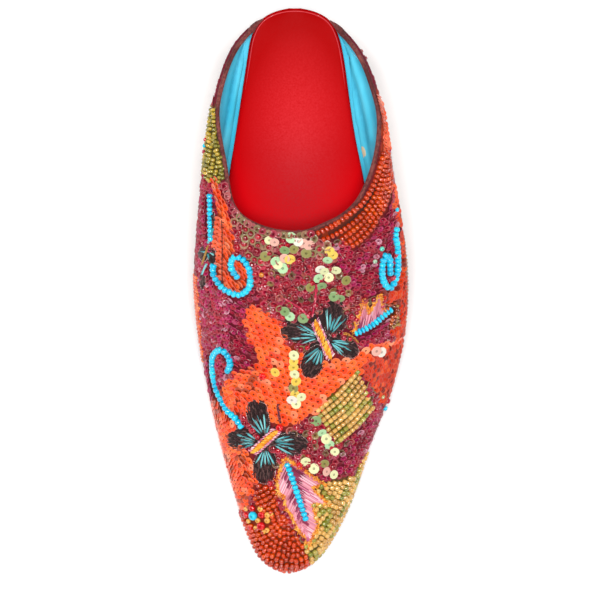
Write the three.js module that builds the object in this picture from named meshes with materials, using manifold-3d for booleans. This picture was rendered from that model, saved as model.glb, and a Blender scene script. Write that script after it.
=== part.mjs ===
// A left-foot heeled mule with a long pointed toe, an open back and bead-embroidered sides.
// Units are millimetres. +Z is up, the toe points along -Y, and +X is the outer side of the foot.
// The shoe is put together from an outsole, a heel with its top piece, a padded insole,
// one lasted upper that is open at the collar and underneath, and a binding along the collar.
import * as THREE from "three";
import { mergeVertices } from "three/addons/utils/BufferGeometryUtils.js";
import Module from "manifold-3d";

const wasm = await Module();
wasm.setup();

// Driving dimensions
const SHOE_LENGTH = 238.4; // plan length, from the back of the insole to the tip of the toe
const HEEL_RISE = 65.8; // how far the heel seat stands above the tread
const TOE_SPRING = 6.5; // how far the tip of the sole lifts off the floor
const SOLE_THICKNESS = 3.2;
const WALL = 2.0; // outer fabric and lining together
const GAP = 0.3; // left between pieces that meet
const INSOLE_THICKNESS = 4.0;
const INSOLE_DISH = 1.1; // how far the heel cup lies below its rim
const THROAT_AT = 96.1; // from the back to the front of the foot opening
const UPPER_STARTS_AT = 8; // where each side of the upper begins, from the back
const FEATHER_LENGTH = 236.2; // the upper's bottom edge stops this far from the back
const BINDING_WIDTH = 2.3;
const BINDING_HEIGHT = 2.2;
const BINDING_LIFT = 0.45; // over the edge of the wall, more than a gap because the edge bends
const TOP_PIECE_THICKNESS = 6.0;

// Distances along the shoe are measured from the back of the insole, towards the toe.
const BACK_Y = SHOE_LENGTH / 2;

// The line of the sole seen from the side: rise is the share of the heel's rise.
const SOLE_LINE = [
  { at: 0, rise: 1.0 },
  { at: 20, rise: 0.955 },
  { at: 45, rise: 0.857 },
  { at: 75, rise: 0.658 },
  { at: 105, rise: 0.392 },
  { at: 130, rise: 0.167 },
  { at: 150, rise: 0.045 },
  { at: 166, rise: 0 },
  { at: SHOE_LENGTH, rise: 0 },
];
const TREAD_ENDS_AT = 188; // the flat of the forefoot runs from the last rise to here

// One row for each section of the last. soleL and soleR are the edges of the sole, sideL and
// sideR the widest points of the upper, and sideRise their height over the sole. ridgeX is where
// the crown of the arch stands, and ridgeRise its height over the widest points. Behind the
// throat the crown is only the shape that the open sides lean towards.
const SECTIONS = [
  { at: 0, soleL: -2.2, soleR: -2.2, sideL: -2.2, sideR: -2.2, sideRise: 0.6, ridgeX: -2.2, ridgeRise: 0 },
  { at: 6, soleL: -18.8, soleR: 14.6, sideL: -19.1, sideR: 14.9, sideRise: 1.8, ridgeX: -2.2, ridgeRise: 2 },
  { at: 13.4, soleL: -24.0, soleR: 20.0, sideL: -26.6, sideR: 22.4, sideRise: 7.2, ridgeX: -2.1, ridgeRise: 5 },
  { at: 21.8, soleL: -25.4, soleR: 21.8, sideL: -31.2, sideR: 27.8, sideRise: 11.6, ridgeX: -2.1, ridgeRise: 8 },
  { at: 38.4, soleL: -28.1, soleR: 24.1, sideL: -36.0, sideR: 33.6, sideRise: 16.3, ridgeX: -2.0, ridgeRise: 10 },
  { at: 55, soleL: -30.8, soleR: 26.7, sideL: -38.3, sideR: 36.2, sideRise: 21.5, ridgeX: -1.9, ridgeRise: 13 },
  { at: 72, soleL: -33.6, soleR: 30.3, sideL: -40.3, sideR: 38.4, sideRise: 25.0, ridgeX: -1.8, ridgeRise: 18 },
  { at: 92, soleL: -35.6, soleR: 33.6, sideL: -42.4, sideR: 42.0, sideRise: 26.0, ridgeX: -1.8, ridgeRise: 23.4 },
  { at: 113, soleL: -36.8, soleR: 36.4, sideL: -44.0, sideR: 44.4, sideRise: 22.5, ridgeX: -1.9, ridgeRise: 28.2 },
  { at: 135, soleL: -36.9, soleR: 37.6, sideL: -42.7, sideR: 43.8, sideRise: 17.0, ridgeX: -2.2, ridgeRise: 31.2 },
  { at: 156, soleL: -35.4, soleR: 35.6, sideL: -39.6, sideR: 39.6, sideRise: 12.4, ridgeX: -2.6, ridgeRise: 29.6 },
  { at: 173, soleL: -32.8, soleR: 30.8, sideL: -35.9, sideR: 33.8, sideRise: 10.0, ridgeX: -3.2, ridgeRise: 25.2 },
  { at: 190.8, soleL: -28.9, soleR: 24.6, sideL: -31.4, sideR: 26.8, sideRise: 8.4, ridgeX: -3.8, ridgeRise: 19.8 },
  { at: 208, soleL: -24.0, soleR: 18.6, sideL: -26.3, sideR: 20.8, sideRise: 7.2, ridgeX: -4.3, ridgeRise: 14.6 },
  { at: 225, soleL: -17.6, soleR: 9.8, sideL: -19.9, sideR: 12.4, sideRise: 6.0, ridgeX: -4.7, ridgeRise: 9.6 },
  { at: 233, soleL: -13.3, soleR: 4.1, sideL: -15.9, sideR: 6.5, sideRise: 5.4, ridgeX: -4.8, ridgeRise: 6.4 },
  { at: SHOE_LENGTH, soleL: -4.9, soleR: -4.9, sideL: -4.9, sideR: -4.9, sideRise: 4.8, ridgeX: -4.9, ridgeRise: 0 },
];

// The collar seen from above: where its left and right edges stand at each distance.
const COLLAR = [
  { at: 0, left: -2.2, right: -2.2 },
  { at: 6, left: -18.9, right: 14.7 },
  { at: 13.4, left: -26.2, right: 22.0 },
  { at: 21.8, left: -30.8, right: 27.4 },
  { at: 38.4, left: -35.6, right: 33.2 },
  { at: 46, left: -36.3, right: 34.6 },
  { at: 55.5, left: -35.1, right: 34.4 },
  { at: 66, left: -33.0, right: 32.4 },
  { at: 76, left: -31.6, right: 28.8 },
  { at: 83, left: -29.8, right: 24.7 },
  { at: 89, left: -25.2, right: 18.0 },
  { at: 93, left: -18.2, right: 9.8 },
  { at: 95.3, left: -10.5, right: 4.0 },
  { at: THROAT_AT, left: -1.8, right: -1.8 },
];

// The edges of the insole, which is the outermost piece at the very back and lies inside the upper
// further on.
const INSOLE_EDGES = [
  { at: 0, left: -2.2, right: -2.2 },
  { at: 2.5, left: -13.1, right: 8.9 },
  { at: 6, left: -17.5, right: 13.4 },
  { at: 13.4, left: -20.9, right: 16.8 },
  { at: 21.8, left: -22.2, right: 18.5 },
  { at: 38.4, left: -24.8, right: 20.8 },
  { at: 55, left: -27.4, right: 23.3 },
  { at: 72, left: -30.2, right: 26.9 },
  { at: 92, left: -32.2, right: 30.2 },
  { at: 113, left: -33.4, right: 33.0 },
  { at: 135, left: -33.4, right: 34.1 },
  { at: 156, left: -31.8, right: 32.0 },
  { at: 173, left: -29.2, right: 27.2 },
  { at: 190.8, left: -25.4, right: 21.2 },
  { at: 208, left: -20.6, right: 15.2 },
  { at: 225, left: -14.6, right: 7.0 },
  { at: SHOE_LENGTH, left: -4.9, right: -4.9 },
];

// The heel from its seat to its base: how far down, where its back and breast stand, half its width.
const HEEL_SHAPE = [
  { drop: -0.2, back: 0.6, breast: 47, half: 17.6 },
  { drop: 0.12, back: 0.8, breast: 43, half: 16.4 },
  { drop: 0.3, back: 2.4, breast: 35, half: 12.6 },
  { drop: 0.5, back: 4.6, breast: 28.5, half: 9.6 },
  { drop: 0.75, back: 6.4, breast: 24.8, half: 8.1 },
  { drop: 1.0, back: 7.2, breast: 24.4, half: 7.9 },
];
const HEEL_CENTRE_X = -2.1;
const HEEL_SQUARENESS = 2.6; // 2 is an ellipse, more is squarer

// How finely the pieces are divided
const WALK_STEPS = 80; // along the upper, from one back end round the toe to the other
const SKIRT_STEPS = 5; // from the sole's edge up to the widest line
const CROWN_STEPS = 8; // from the widest line up to the collar
const SOLE_STEPS = 40;

// Smooth interpolation in a table, by the angle that goes round the outline from back to toe.
const turn = (at) => Math.acos(THREE.MathUtils.clamp(1 - (2 * at) / SHOE_LENGTH, -1, 1));
const distance = (angle) => ((1 - Math.cos(angle)) * SHOE_LENGTH) / 2;

function reader(rows, column, along = (at) => at) {
  const keys = rows.map((row) => along(row.at));
  const values = rows.map((row) => row[column]);
  const slopes = values.map((value, i) => {
    const before = Math.max(i - 1, 0);
    const after = Math.min(i + 1, values.length - 1);
    return (values[after] - values[before]) / (keys[after] - keys[before]);
  });
  return (at) => {
    const key = THREE.MathUtils.clamp(along(at), keys[0], keys[keys.length - 1]);
    let i = 0;
    while (i < keys.length - 2 && key > keys[i + 1]) i += 1;
    const span = keys[i + 1] - keys[i];
    const t = (key - keys[i]) / span;
    const rest = 1 - t;
    return (
      values[i] * (1 + 2 * t) * rest * rest +
      values[i + 1] * (1 + 2 * rest) * t * t +
      span * t * rest * (slopes[i] * rest - slopes[i + 1] * t)
    );
  };
}

const section = {};
for (const column of Object.keys(SECTIONS[0]).slice(1)) section[column] = reader(SECTIONS, column, turn);
const collarTurn = (at) => Math.acos(THREE.MathUtils.clamp((2 * at) / THROAT_AT - 1, -1, 1));
const collarRows = [...COLLAR].reverse();
const collarX = { L: reader(collarRows, "left", collarTurn), R: reader(collarRows, "right", collarTurn) };
const heelRise = reader(SOLE_LINE, "rise");

function soleBottom(at) {
  const past = Math.max(0, at - TREAD_ENDS_AT) / (SHOE_LENGTH - TREAD_ENDS_AT);
  return HEEL_RISE * Math.max(0, heelRise(at)) + TOE_SPRING * past * past;
}
const soleTop = (at) => soleBottom(at) + SOLE_THICKNESS;
const place = (x, at, z) => new THREE.Vector3(x, BACK_Y - at, z);

// The outer face of the upper over the widest line, as a height at each place seen from above.
function crownHeight(x, at) {
  const ridge = section.ridgeX(at);
  const side = x < ridge ? section.sideL(at) : section.sideR(at);
  const share = THREE.MathUtils.clamp((x - ridge) / (side - ridge || 1), 0, 1);
  const widest = soleTop(at) + section.sideRise(at);
  return widest + section.ridgeRise(at) * Math.sqrt(1 - share * share);
}

// A walk of -1 is the left back end of the upper, 0 the tip of the toe and 1 the right back end.
const WALK_ANGLE = Math.PI - turn(UPPER_STARTS_AT);
function walkPlace(walk) {
  return { at: distance(Math.PI - Math.abs(walk) * WALK_ANGLE), hand: walk < 0 ? "L" : "R" };
}

// The collar is walked too: at the same distance as the side behind the join, and ahead of it
// round the front of the throat.
const COLLAR_JOIN_AT = 50;
const COLLAR_JOIN_WALK = (Math.PI - turn(COLLAR_JOIN_AT)) / WALK_ANGLE;
const COLLAR_LEAD = 0.37;
const COLLAR_BEND = 4;
function collarPlace(walk) {
  const side = collarX[walk < 0 ? "L" : "R"];
  const share = Math.abs(walk) / COLLAR_JOIN_WALK;
  if (share > 1) {
    const { at } = walkPlace(walk);
    return { at, x: side(at) };
  }
  const eased = COLLAR_LEAD * share + (1 - COLLAR_LEAD) * share ** COLLAR_BEND;
  const at = ((1 + Math.cos(eased * collarTurn(COLLAR_JOIN_AT))) * THROAT_AT) / 2;
  return { at, x: side(at) };
}

// One line of the upper's outer face, from the sole's edge over the widest line to the collar.
function upperLine(walk) {
  const { at, hand } = walkPlace(walk);
  const line = [];
  const side = section["side" + hand](at);
  const rise = section.sideRise(at);
  const feather = { x: section["sole" + hand](at), at: (at * FEATHER_LENGTH) / SHOE_LENGTH };
  const bottom = soleTop(feather.at) + GAP;
  const widest = soleTop(at) + rise;
  for (let i = 0; i < SKIRT_STEPS; i += 1) {
    const up = i / SKIRT_STEPS;
    const out = 1 - (1 - up) ** 2;
    line.push(
      place(
        THREE.MathUtils.lerp(feather.x, side, out),
        THREE.MathUtils.lerp(feather.at, at, out),
        THREE.MathUtils.lerp(bottom, widest, up),
      ),
    );
  }
  const collar = collarPlace(walk);
  for (let i = 0; i <= CROWN_STEPS; i += 1) {
    const inward = 1 - Math.cos(((i / CROWN_STEPS) * Math.PI) / 2);
    const x = THREE.MathUtils.lerp(side, collar.x, inward);
    const along = THREE.MathUtils.lerp(at, collar.at, inward);
    line.push(place(x, along, crownHeight(x, along)));
  }
  return line;
}

// Walks at even steps along the widest line, so that the toe gets as many as the sides.
function evenWalks(steps) {
  const FINE = 2000;
  const walks = Array.from({ length: FINE + 1 }, (_, i) => (2 * i) / FINE - 1);
  const points = walks.map((walk) => {
    const { at, hand } = walkPlace(walk);
    return place(section["side" + hand](at), at, 0);
  });
  const run = [0];
  for (let i = 1; i <= FINE; i += 1) run.push(run[i - 1] + points[i].distanceTo(points[i - 1]));
  let i = 0;
  return Array.from({ length: steps + 1 }, (_, step) => {
    const goal = (run[FINE] * step) / steps;
    while (i < FINE && run[i] < goal) i += 1;
    return walks[i];
  });
}

const upperWalks = evenWalks(WALK_STEPS);
const upperGrid = upperWalks.map(upperLine);

// The outward normal at each point of the upper's grid, from its neighbours.
const upperNormals = upperGrid.map((line, i) =>
  line.map((_, j) => {
    const before = upperGrid[Math.max(i - 1, 0)][j];
    const after = upperGrid[Math.min(i + 1, WALK_STEPS)][j];
    const below = line[Math.max(j - 1, 0)];
    const above = line[Math.min(j + 1, line.length - 1)];
    const along = after.clone().sub(before);
    return along.cross(above.clone().sub(below)).normalize();
  }),
);

function upperFace(offset) {
  return upperGrid.map((line, i) =>
    line.map((point, j) => point.clone().addScaledVector(upperNormals[i][j], offset)),
  );
}

// A closed geometry through rings of points, with both ends capped round their middles.
function loft(rings) {
  const around = rings[0].length;
  const positions = rings.flat().flatMap((p) => [p.x, p.y, p.z]);
  const indices = [];
  for (let i = 0; i + 1 < rings.length; i += 1) {
    for (let j = 0; j < around; j += 1) {
      const a = i * around + j;
      const b = i * around + ((j + 1) % around);
      indices.push(a, b, b + around, a, b + around, a + around);
    }
  }
  for (const [ring, forward] of [[0, false], [rings.length - 1, true]]) {
    const middle = rings[ring].reduce((sum, p) => sum.add(p), new THREE.Vector3()).divideScalar(around);
    const centre = positions.length / 3;
    positions.push(middle.x, middle.y, middle.z);
    for (let j = 0; j < around; j += 1) {
      const a = ring * around + j;
      const b = ring * around + ((j + 1) % around);
      indices.push(centre, forward ? a : b, forward ? b : a);
    }
  }
  const geometry = new THREE.BufferGeometry();
  geometry.setAttribute("position", new THREE.Float32BufferAttribute(positions, 3));
  geometry.setIndex(indices);
  return geometry;
}

// The same geometry turned the other way where its faces point inwards.
function facingOut(geometry) {
  const position = geometry.getAttribute("position");
  const index = geometry.getIndex();
  const [a, b, c] = [new THREE.Vector3(), new THREE.Vector3(), new THREE.Vector3()];
  let volume = 0;
  for (let i = 0; i < index.count; i += 3) {
    a.fromBufferAttribute(position, index.getX(i));
    b.fromBufferAttribute(position, index.getX(i + 1));
    c.fromBufferAttribute(position, index.getX(i + 2));
    volume += a.dot(b.cross(c)) / 6;
  }
  if (volume < 0) geometry.setIndex(Array.from(index.array).reverse());
  return geometry;
}

function bareOf(geometry) {
  const bare = geometry.clone();
  bare.deleteAttribute("normal");
  bare.deleteAttribute("uv");
  return bare;
}

function solidOf(geometry) {
  const merged = mergeVertices(bareOf(geometry));
  return new wasm.Manifold(
    new wasm.Mesh({
      numProp: 3,
      vertProperties: merged.getAttribute("position").array,
      triVerts: new Uint32Array(merged.getIndex().array),
    }),
  );
}

function geometryOf(solid) {
  const mesh = solid.getMesh();
  const geometry = new THREE.BufferGeometry();
  geometry.setAttribute("position", new THREE.BufferAttribute(mesh.vertProperties, 3));
  geometry.setIndex(new THREE.BufferAttribute(mesh.triVerts, 1));
  return geometry;
}

const shoe = new THREE.Group();

function addPiece(name, geometry, color, roughness, metalness = 0) {
  geometry.computeVertexNormals();
  const mesh = new THREE.Mesh(geometry, new THREE.MeshStandardMaterial({ color, roughness, metalness }));
  mesh.name = name;
  shoe.add(mesh);
}

// Stations along a sole or an insole, close together at its rounded ends.
const NEAR_END = 0.05;
const soleStations = Array.from({ length: SOLE_STEPS + 1 }, (_, i) =>
  distance(THREE.MathUtils.lerp(NEAR_END, Math.PI - NEAR_END, i / SOLE_STEPS)),
);

// The outsole is flush with the upper's edge, and at the back it stays out of sight under the
// insole. Its edge is bevelled towards the floor.
const SOLE_BEVEL = 0.9;
const BACK_INSET = 0.6;
const BACK_INSET_ENDS_AT = 14;
const insoleX = { L: reader(INSOLE_EDGES, "left", turn), R: reader(INSOLE_EDGES, "right", turn) };
function soleEdges(at) {
  const full = THREE.MathUtils.smoothstep(at, 0, BACK_INSET_ENDS_AT);
  return {
    left: THREE.MathUtils.lerp(insoleX.L(at), section.soleL(at), full),
    right: THREE.MathUtils.lerp(insoleX.R(at), section.soleR(at), full),
  };
}
function outsole() {
  const rings = soleStations.map((at) => {
    const { left, right } = soleEdges(at);
    const bevel = Math.min(SOLE_BEVEL, (right - left) / 6);
    const along = (at * FEATHER_LENGTH) / SHOE_LENGTH + BACK_INSET * (1 - at / SHOE_LENGTH);
    const top = soleTop(along);
    const bottom = soleBottom(along);
    const shoulder = top - SOLE_THICKNESS / 3;
    return [
      place(left, along, top),
      place(right, along, top),
      place(right, along, shoulder),
      place(right - bevel, along, bottom),
      place(left + bevel, along, bottom),
      place(left, along, shoulder),
    ];
  });
  return facingOut(loft(rings));
}

// The insole fills the upper between its walls. Its edge is rolled, and its heel is dished.
const INSOLE_ROLL = 1.2;
const DISH_FADES_AT = 110;
const TOE_CLEARANCE = 5.2; // the insole stops short of the toe, inside the upper
const INSOLE_ACROSS = [
  { share: 0, down: 1 },
  { share: 0.02, down: 0.25 },
  { share: 0.06, down: 0 },
  { share: 0.13, down: 0.2 },
  { share: 0.3, down: 0.75 },
  { share: 0.5, down: 1 },
];
function insole() {
  const rings = soleStations.map((at) => {
    const along = (at * (SHOE_LENGTH - TOE_CLEARANCE)) / SHOE_LENGTH;
    const middle = (insoleX.L(at) + insoleX.R(at)) / 2;
    const reach = (insoleX.R(at) - insoleX.L(at)) / 2;
    const bottom = soleTop(along) + GAP;
    const dish = INSOLE_DISH * (1 - THREE.MathUtils.smoothstep(along, 0, DISH_FADES_AT));
    const across = [...INSOLE_ACROSS, ...INSOLE_ACROSS.slice(0, -1).reverse()].map((row, i) => {
      const share = i < INSOLE_ACROSS.length ? row.share : 1 - row.share;
      const edge = row.share < INSOLE_ACROSS[2].share;
      const drop = edge ? INSOLE_ROLL * row.down : dish * row.down;
      return place(middle + reach * (2 * share - 1), along, bottom + INSOLE_THICKNESS - drop);
    });
    return [
      ...across,
      place(middle + reach, along, bottom + INSOLE_ROLL),
      place(middle + reach * 0.95, along, bottom),
      place(middle - reach * 0.95, along, bottom),
      place(middle - reach, along, bottom + INSOLE_ROLL),
    ];
  });
  return facingOut(loft(rings));
}

// The upper: one wall through all its lines, outer face up and inner face back down.
function wallBetween(inner, outer) {
  const outerFace = upperFace(outer);
  const innerFace = upperFace(inner);
  return facingOut(loft(outerFace.map((line, i) => [...line, ...innerFace[i].reverse()])));
}

// The binding is an oval strip seated on the collar's edge.
const BINDING_SIDES = 6;
function collarBinding() {
  const last = SKIRT_STEPS + CROWN_STEPS;
  const rings = upperGrid.map((line, i) => {
    const normal = upperNormals[i][last];
    const before = upperGrid[Math.max(i - 1, 0)][last];
    const after = upperGrid[Math.min(i + 1, WALK_STEPS)][last];
    const along = after.clone().sub(before).normalize();
    const upward = normal.clone().cross(along).normalize();
    if (upward.dot(line[last].clone().sub(line[last - 1])) < 0) upward.negate();
    const middle = line[last]
      .clone()
      .addScaledVector(normal, -WALL / 2)
      .addScaledVector(upward, BINDING_LIFT + BINDING_HEIGHT / 2);
    return Array.from({ length: BINDING_SIDES }, (_, side) => {
      const angle = ((side + 0.5) / BINDING_SIDES) * 2 * Math.PI;
      return middle
        .clone()
        .addScaledVector(normal, (Math.cos(angle) * BINDING_WIDTH) / 2)
        .addScaledVector(upward, (Math.sin(angle) * BINDING_HEIGHT) / 2);
    });
  });
  return facingOut(loft(rings));
}

// The heel narrows from the heel seat to its base, and its top is cut to the line of the sole.
const HEEL_SIDES = 24;
const HEEL_RINGS = 11;
const HEEL_BASE = TOP_PIECE_THICKNESS + GAP;
const HEEL_TOP = SOLE_THICKNESS + HEEL_RISE;
const heelRows = HEEL_SHAPE.map((row) => ({ ...row, at: row.drop }));
const heelBack = reader(heelRows, "back");
const heelBreast = reader(heelRows, "breast");
const heelHalf = reader(heelRows, "half");
function heelRing(drop, z, grow = 0) {
  const middle = (heelBack(drop) + heelBreast(drop)) / 2;
  const reach = (heelBreast(drop) - heelBack(drop)) / 2 + grow;
  const half = heelHalf(drop) + grow;
  return Array.from({ length: HEEL_SIDES }, (_, side) => {
    const angle = (side / HEEL_SIDES) * 2 * Math.PI;
    const power = 2 / HEEL_SQUARENESS;
    const across = Math.sign(Math.cos(angle)) * Math.abs(Math.cos(angle)) ** power;
    const along = Math.sign(Math.sin(angle)) * Math.abs(Math.sin(angle)) ** power;
    return place(HEEL_CENTRE_X + half * across, middle + reach * along, z);
  });
}
const SOLE_CUTTER_HALF = 60;
const SOLE_CUTTER_HEIGHT = 40;
const HEEL_SEAT_ENDS_AT = 70;
const SEAT_CUTTER_STEPS = 14;
function heel() {
  const top = HEEL_SHAPE[0].drop;
  const rings = Array.from({ length: HEEL_RINGS + 1 }, (_, i) => {
    const drop = THREE.MathUtils.lerp(top, 1, i / HEEL_RINGS);
    return heelRing(drop, THREE.MathUtils.lerp(HEEL_TOP, HEEL_BASE, drop));
  });
  const aboveSeat = Array.from({ length: SEAT_CUTTER_STEPS + 1 }, (_, i) => {
    const at = THREE.MathUtils.lerp(-10, HEEL_SEAT_ENDS_AT, i / SEAT_CUTTER_STEPS);
    const low = soleBottom(Math.max(at, 0)) - GAP;
    return [
      place(-SOLE_CUTTER_HALF, at, low),
      place(SOLE_CUTTER_HALF, at, low),
      place(SOLE_CUTTER_HALF, at, low + SOLE_CUTTER_HEIGHT),
      place(-SOLE_CUTTER_HALF, at, low + SOLE_CUTTER_HEIGHT),
    ];
  });
  return geometryOf(solidOf(facingOut(loft(rings))).subtract(solidOf(facingOut(loft(aboveSeat)))));
}
function heelTopPiece() {
  const TOP_PIECE_GROW = 0.2;
  return facingOut(loft([heelRing(1, TOP_PIECE_THICKNESS, TOP_PIECE_GROW), heelRing(1, 0, TOP_PIECE_GROW)]));
}

// Overlays sewn on the upper. They are drawn as seen from above, as pairs of x and of the distance
// from the back, and each is cut out of a thin form that follows the upper's own crown.
const SCROLL_WIDTH = 2.4;
const SCROLL_STEPS = 30;
const SCROLLS = {
  scroll_inner: [
    [-36.5, 107.8], [-35.3, 113.7], [-30.3, 119.2], [-24.5, 119.4], [-20.8, 115.4],
    [-21.5, 108.3], [-26.3, 104.1], [-29.0, 107.6], [-26.8, 112.0],
  ],
  scroll_outer: [
    [40.5, 92.6], [40.9, 99.4], [41.3, 107.4], [40.2, 114.1], [37.4, 117.2],
    [34.7, 113.3], [34.6, 107.0], [36.1, 103.2], [37.5, 107.2],
  ],
  scroll_hook: [
    [-30.7, 152.3], [-30.0, 148.0], [-33.6, 143.3], [-37.3, 147.0], [-37.2, 154.0],
    [-34.8, 163.0], [-31.0, 169.6], [-25.2, 175.9],
  ],
};
const BUTTERFLIES = {
  butterfly_instep: {
    head: [5.0, 128.6],
    tail: [12.6, 145.4],
    wings: [
      { tip: [-8.4, 133.6], half: 5.6 },
      { tip: [15.6, 121.2], half: 5.6 },
      { tip: [4.0, 154.6], half: 4.6 },
      { tip: [24.6, 144.8], half: 4.8 },
    ],
  },
  butterfly_vamp: {
    head: [-8.0, 175.4],
    tail: [-20.9, 187.0],
    wings: [
      { tip: [-19.8, 164.4], half: 5.2 },
      { tip: [-31.0, 181.4], half: 4.8 },
      { tip: [3.6, 183.4], half: 5.0 },
      { tip: [-15.8, 199.0], half: 4.6 },
    ],
  },
};
const LEAVES = {
  leaf_instep: [
    [21.9, 135.2], [26.5, 121.0], [28.7, 126.7], [33.5, 119.4], [34.3, 125.5], [38.1, 126.3],
    [31.4, 132.6], [23.7, 136.6],
  ],
  leaf_toe: [
    [-6.6, 188.7], [10.6, 200.7], [4.9, 201.7], [12.0, 209.4], [5.5, 209.5], [7.2, 219.1],
    [3.6, 227.6], [-2.0, 219.0], [-6.2, 211.2], [-8.9, 205.6], [-9.6, 198.0],
  ],
};
const BEAD_PATCHES = {
  straw_patch_side: [[23.8, 152.5], [31.3, 169.1], [15.4, 183.5], [7.2, 168.5]],
  straw_patch_toe: [
    [13.6, 201.0], [22.4, 197.4], [25.4, 191.8], [19.6, 208.0], [14.6, 218.0], [9.0, 228.0],
    [4.6, 231.4], [5.2, 227.6], [8.7, 219.0], [7.4, 211.0], [14.2, 210.4], [8.4, 203.2],
  ],
  rust_patch_toe: [
    [-17.6, 200.8], [-12.0, 200.6], [-7.9, 214.0], [0.9, 227.0], [3.0, 231.6], [-4.9, 236.4],
    [-12.0, 233.0], [-18.3, 226.0], [-22.4, 215.0], [-21.8, 207.0],
  ],
  rust_band_collar: [
    [9.5, 95.4], [18.4, 90.8], [25.5, 84.4], [29.9, 76.8], [33.4, 67.2], [35.0, 58.0],
    [36.0, 62.0], [36.2, 72.0], [34.0, 82.0], [28.8, 91.0], [21.7, 99.4], [16.0, 97.6],
  ],
};
const BODY_WIDTH = 3.0;
const OVERLAY_HEIGHT = 120;
const planPoint = ([x, at]) => new THREE.Vector2(x, BACK_Y - at);

function prism(outline) {
  const shape = new THREE.Shape(outline);
  const geometry = new THREE.ExtrudeGeometry(shape, { depth: OVERLAY_HEIGHT, bevelEnabled: false });
  return solidOf(facingOut(mergeVertices(bareOf(geometry))));
}

function ribbon(points, width) {
  const curve = new THREE.SplineCurve(points.map(planPoint));
  const edge = (side) =>
    Array.from({ length: SCROLL_STEPS + 1 }, (_, i) => {
      const along = curve.getTangentAt(i / SCROLL_STEPS);
      const across = new THREE.Vector2(-along.y, along.x).multiplyScalar((side * width) / 2);
      return curve.getPointAt(i / SCROLL_STEPS).add(across);
    });
  return prism([...edge(1), ...edge(-1).reverse()]);
}

const WING_SIDES = 14;
function wing(root, tip, half) {
  const along = tip.clone().sub(root);
  const across = new THREE.Vector2(-along.y, along.x).normalize();
  return prism(
    Array.from({ length: WING_SIDES }, (_, i) => {
      const angle = (i / WING_SIDES) * 2 * Math.PI;
      const out = (1 - Math.cos(angle)) / 2;
      return root
        .clone()
        .addScaledVector(along, out)
        .addScaledVector(across, half * Math.sin(angle) * (0.5 + 0.6 * out));
    }),
  );
}

function butterfly({ head, tail, wings }) {
  const root = planPoint(head).lerp(planPoint(tail), 0.45);
  return wings.reduce(
    (whole, { tip, half }) => whole.add(wing(root, planPoint(tip), half)),
    ribbon([head, tail], BODY_WIDTH),
  );
}

// The crown alone, without the skirt below the widest line.
function crownForm(inner, outer) {
  const outerFace = upperFace(outer).map((line) => line.slice(SKIRT_STEPS));
  const innerFace = upperFace(inner).map((line) => line.slice(SKIRT_STEPS));
  return solidOf(facingOut(loft(outerFace.map((line, i) => [...line, ...innerFace[i].reverse()]))));
}
const OVERLAY_LIFT = GAP + 0.15;
const threadForm = crownForm(OVERLAY_LIFT, 1.1);
const beadForm = crownForm(OVERLAY_LIFT, 1.6);
const scrollForm = crownForm(OVERLAY_LIFT, 2.2);

addPiece("outsole", outsole(), 0xb98a58, 0.55);
addPiece("heel", heel(), 0x5a1f22, 0.7);
addPiece("heel_top_piece", heelTopPiece(), 0x1c1715, 0.8);
addPiece("insole", insole(), 0xd00a14, 0.5);
addPiece("upper", wallBetween(-WALL, 0), 0xb8342c, 0.5);
addPiece("collar_binding", collarBinding(), 0x6a2226, 0.85);
for (const [name, points] of Object.entries(SCROLLS)) {
  addPiece(name, geometryOf(scrollForm.intersect(ribbon(points, SCROLL_WIDTH))), 0x19c7e8, 0.25);
}
for (const [name, shape] of Object.entries(BUTTERFLIES)) {
  addPiece(name, geometryOf(threadForm.intersect(butterfly(shape))), 0x2b1718, 0.6);
}
for (const [name, points] of Object.entries(LEAVES)) {
  addPiece(name, geometryOf(threadForm.intersect(prism(points.map(planPoint)))), 0xe88fae, 0.6);
}
for (const [name, points] of Object.entries(BEAD_PATCHES)) {
  const color = name.startsWith("straw") ? 0xddaf62 : 0xc23a05;
  addPiece(name, geometryOf(beadForm.intersect(prism(points.map(planPoint)))), color, 0.35);
}

// The shoe is centred on the origin, seen from above.
const middle = new THREE.Box3().setFromObject(shoe).getCenter(new THREE.Vector3());
for (const piece of shoe.children) piece.geometry.translate(-middle.x, -middle.y, 0);

export default shoe;
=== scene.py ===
# %% [markdown]
# # A beaded heeled mule
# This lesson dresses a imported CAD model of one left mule. The CAD gives the last, the sole, the heel and
# the hollow upper, and Blender adds what a bead worker and a shoemaker would: leather, cloth, thread, and
# several thousand beads and sequins. Everything stays in the CAD's own frame, in metres, toe towards -Y.

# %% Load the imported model
import math

import bpy
import numpy as np
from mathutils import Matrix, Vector
from mathutils.bvhtree import BVHTree


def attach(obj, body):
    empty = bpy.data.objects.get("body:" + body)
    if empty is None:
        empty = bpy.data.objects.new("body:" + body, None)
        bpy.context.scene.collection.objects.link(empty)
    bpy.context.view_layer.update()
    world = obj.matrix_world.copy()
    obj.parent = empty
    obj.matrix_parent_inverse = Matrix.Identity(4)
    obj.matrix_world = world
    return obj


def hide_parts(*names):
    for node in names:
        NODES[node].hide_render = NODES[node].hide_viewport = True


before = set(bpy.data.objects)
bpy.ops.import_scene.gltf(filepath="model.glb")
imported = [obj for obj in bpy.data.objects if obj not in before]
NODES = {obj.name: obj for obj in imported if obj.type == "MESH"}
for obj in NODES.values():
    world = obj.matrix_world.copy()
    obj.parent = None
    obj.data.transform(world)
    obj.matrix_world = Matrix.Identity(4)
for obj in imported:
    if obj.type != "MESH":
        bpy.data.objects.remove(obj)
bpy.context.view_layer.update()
MM = 0.001
rng = np.random.default_rng(17)

# %% [markdown]
# ## Camera
# The shoe was photographed straight from above, toe down, from far away. A long lens two metres up gives the
# same flat view. The floor's scale under the camera is measured from the shoe's length, so a pixel of the
# photograph and a point of the shoe can be turned into each other. The camera stands over the shoe's middle.

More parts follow.
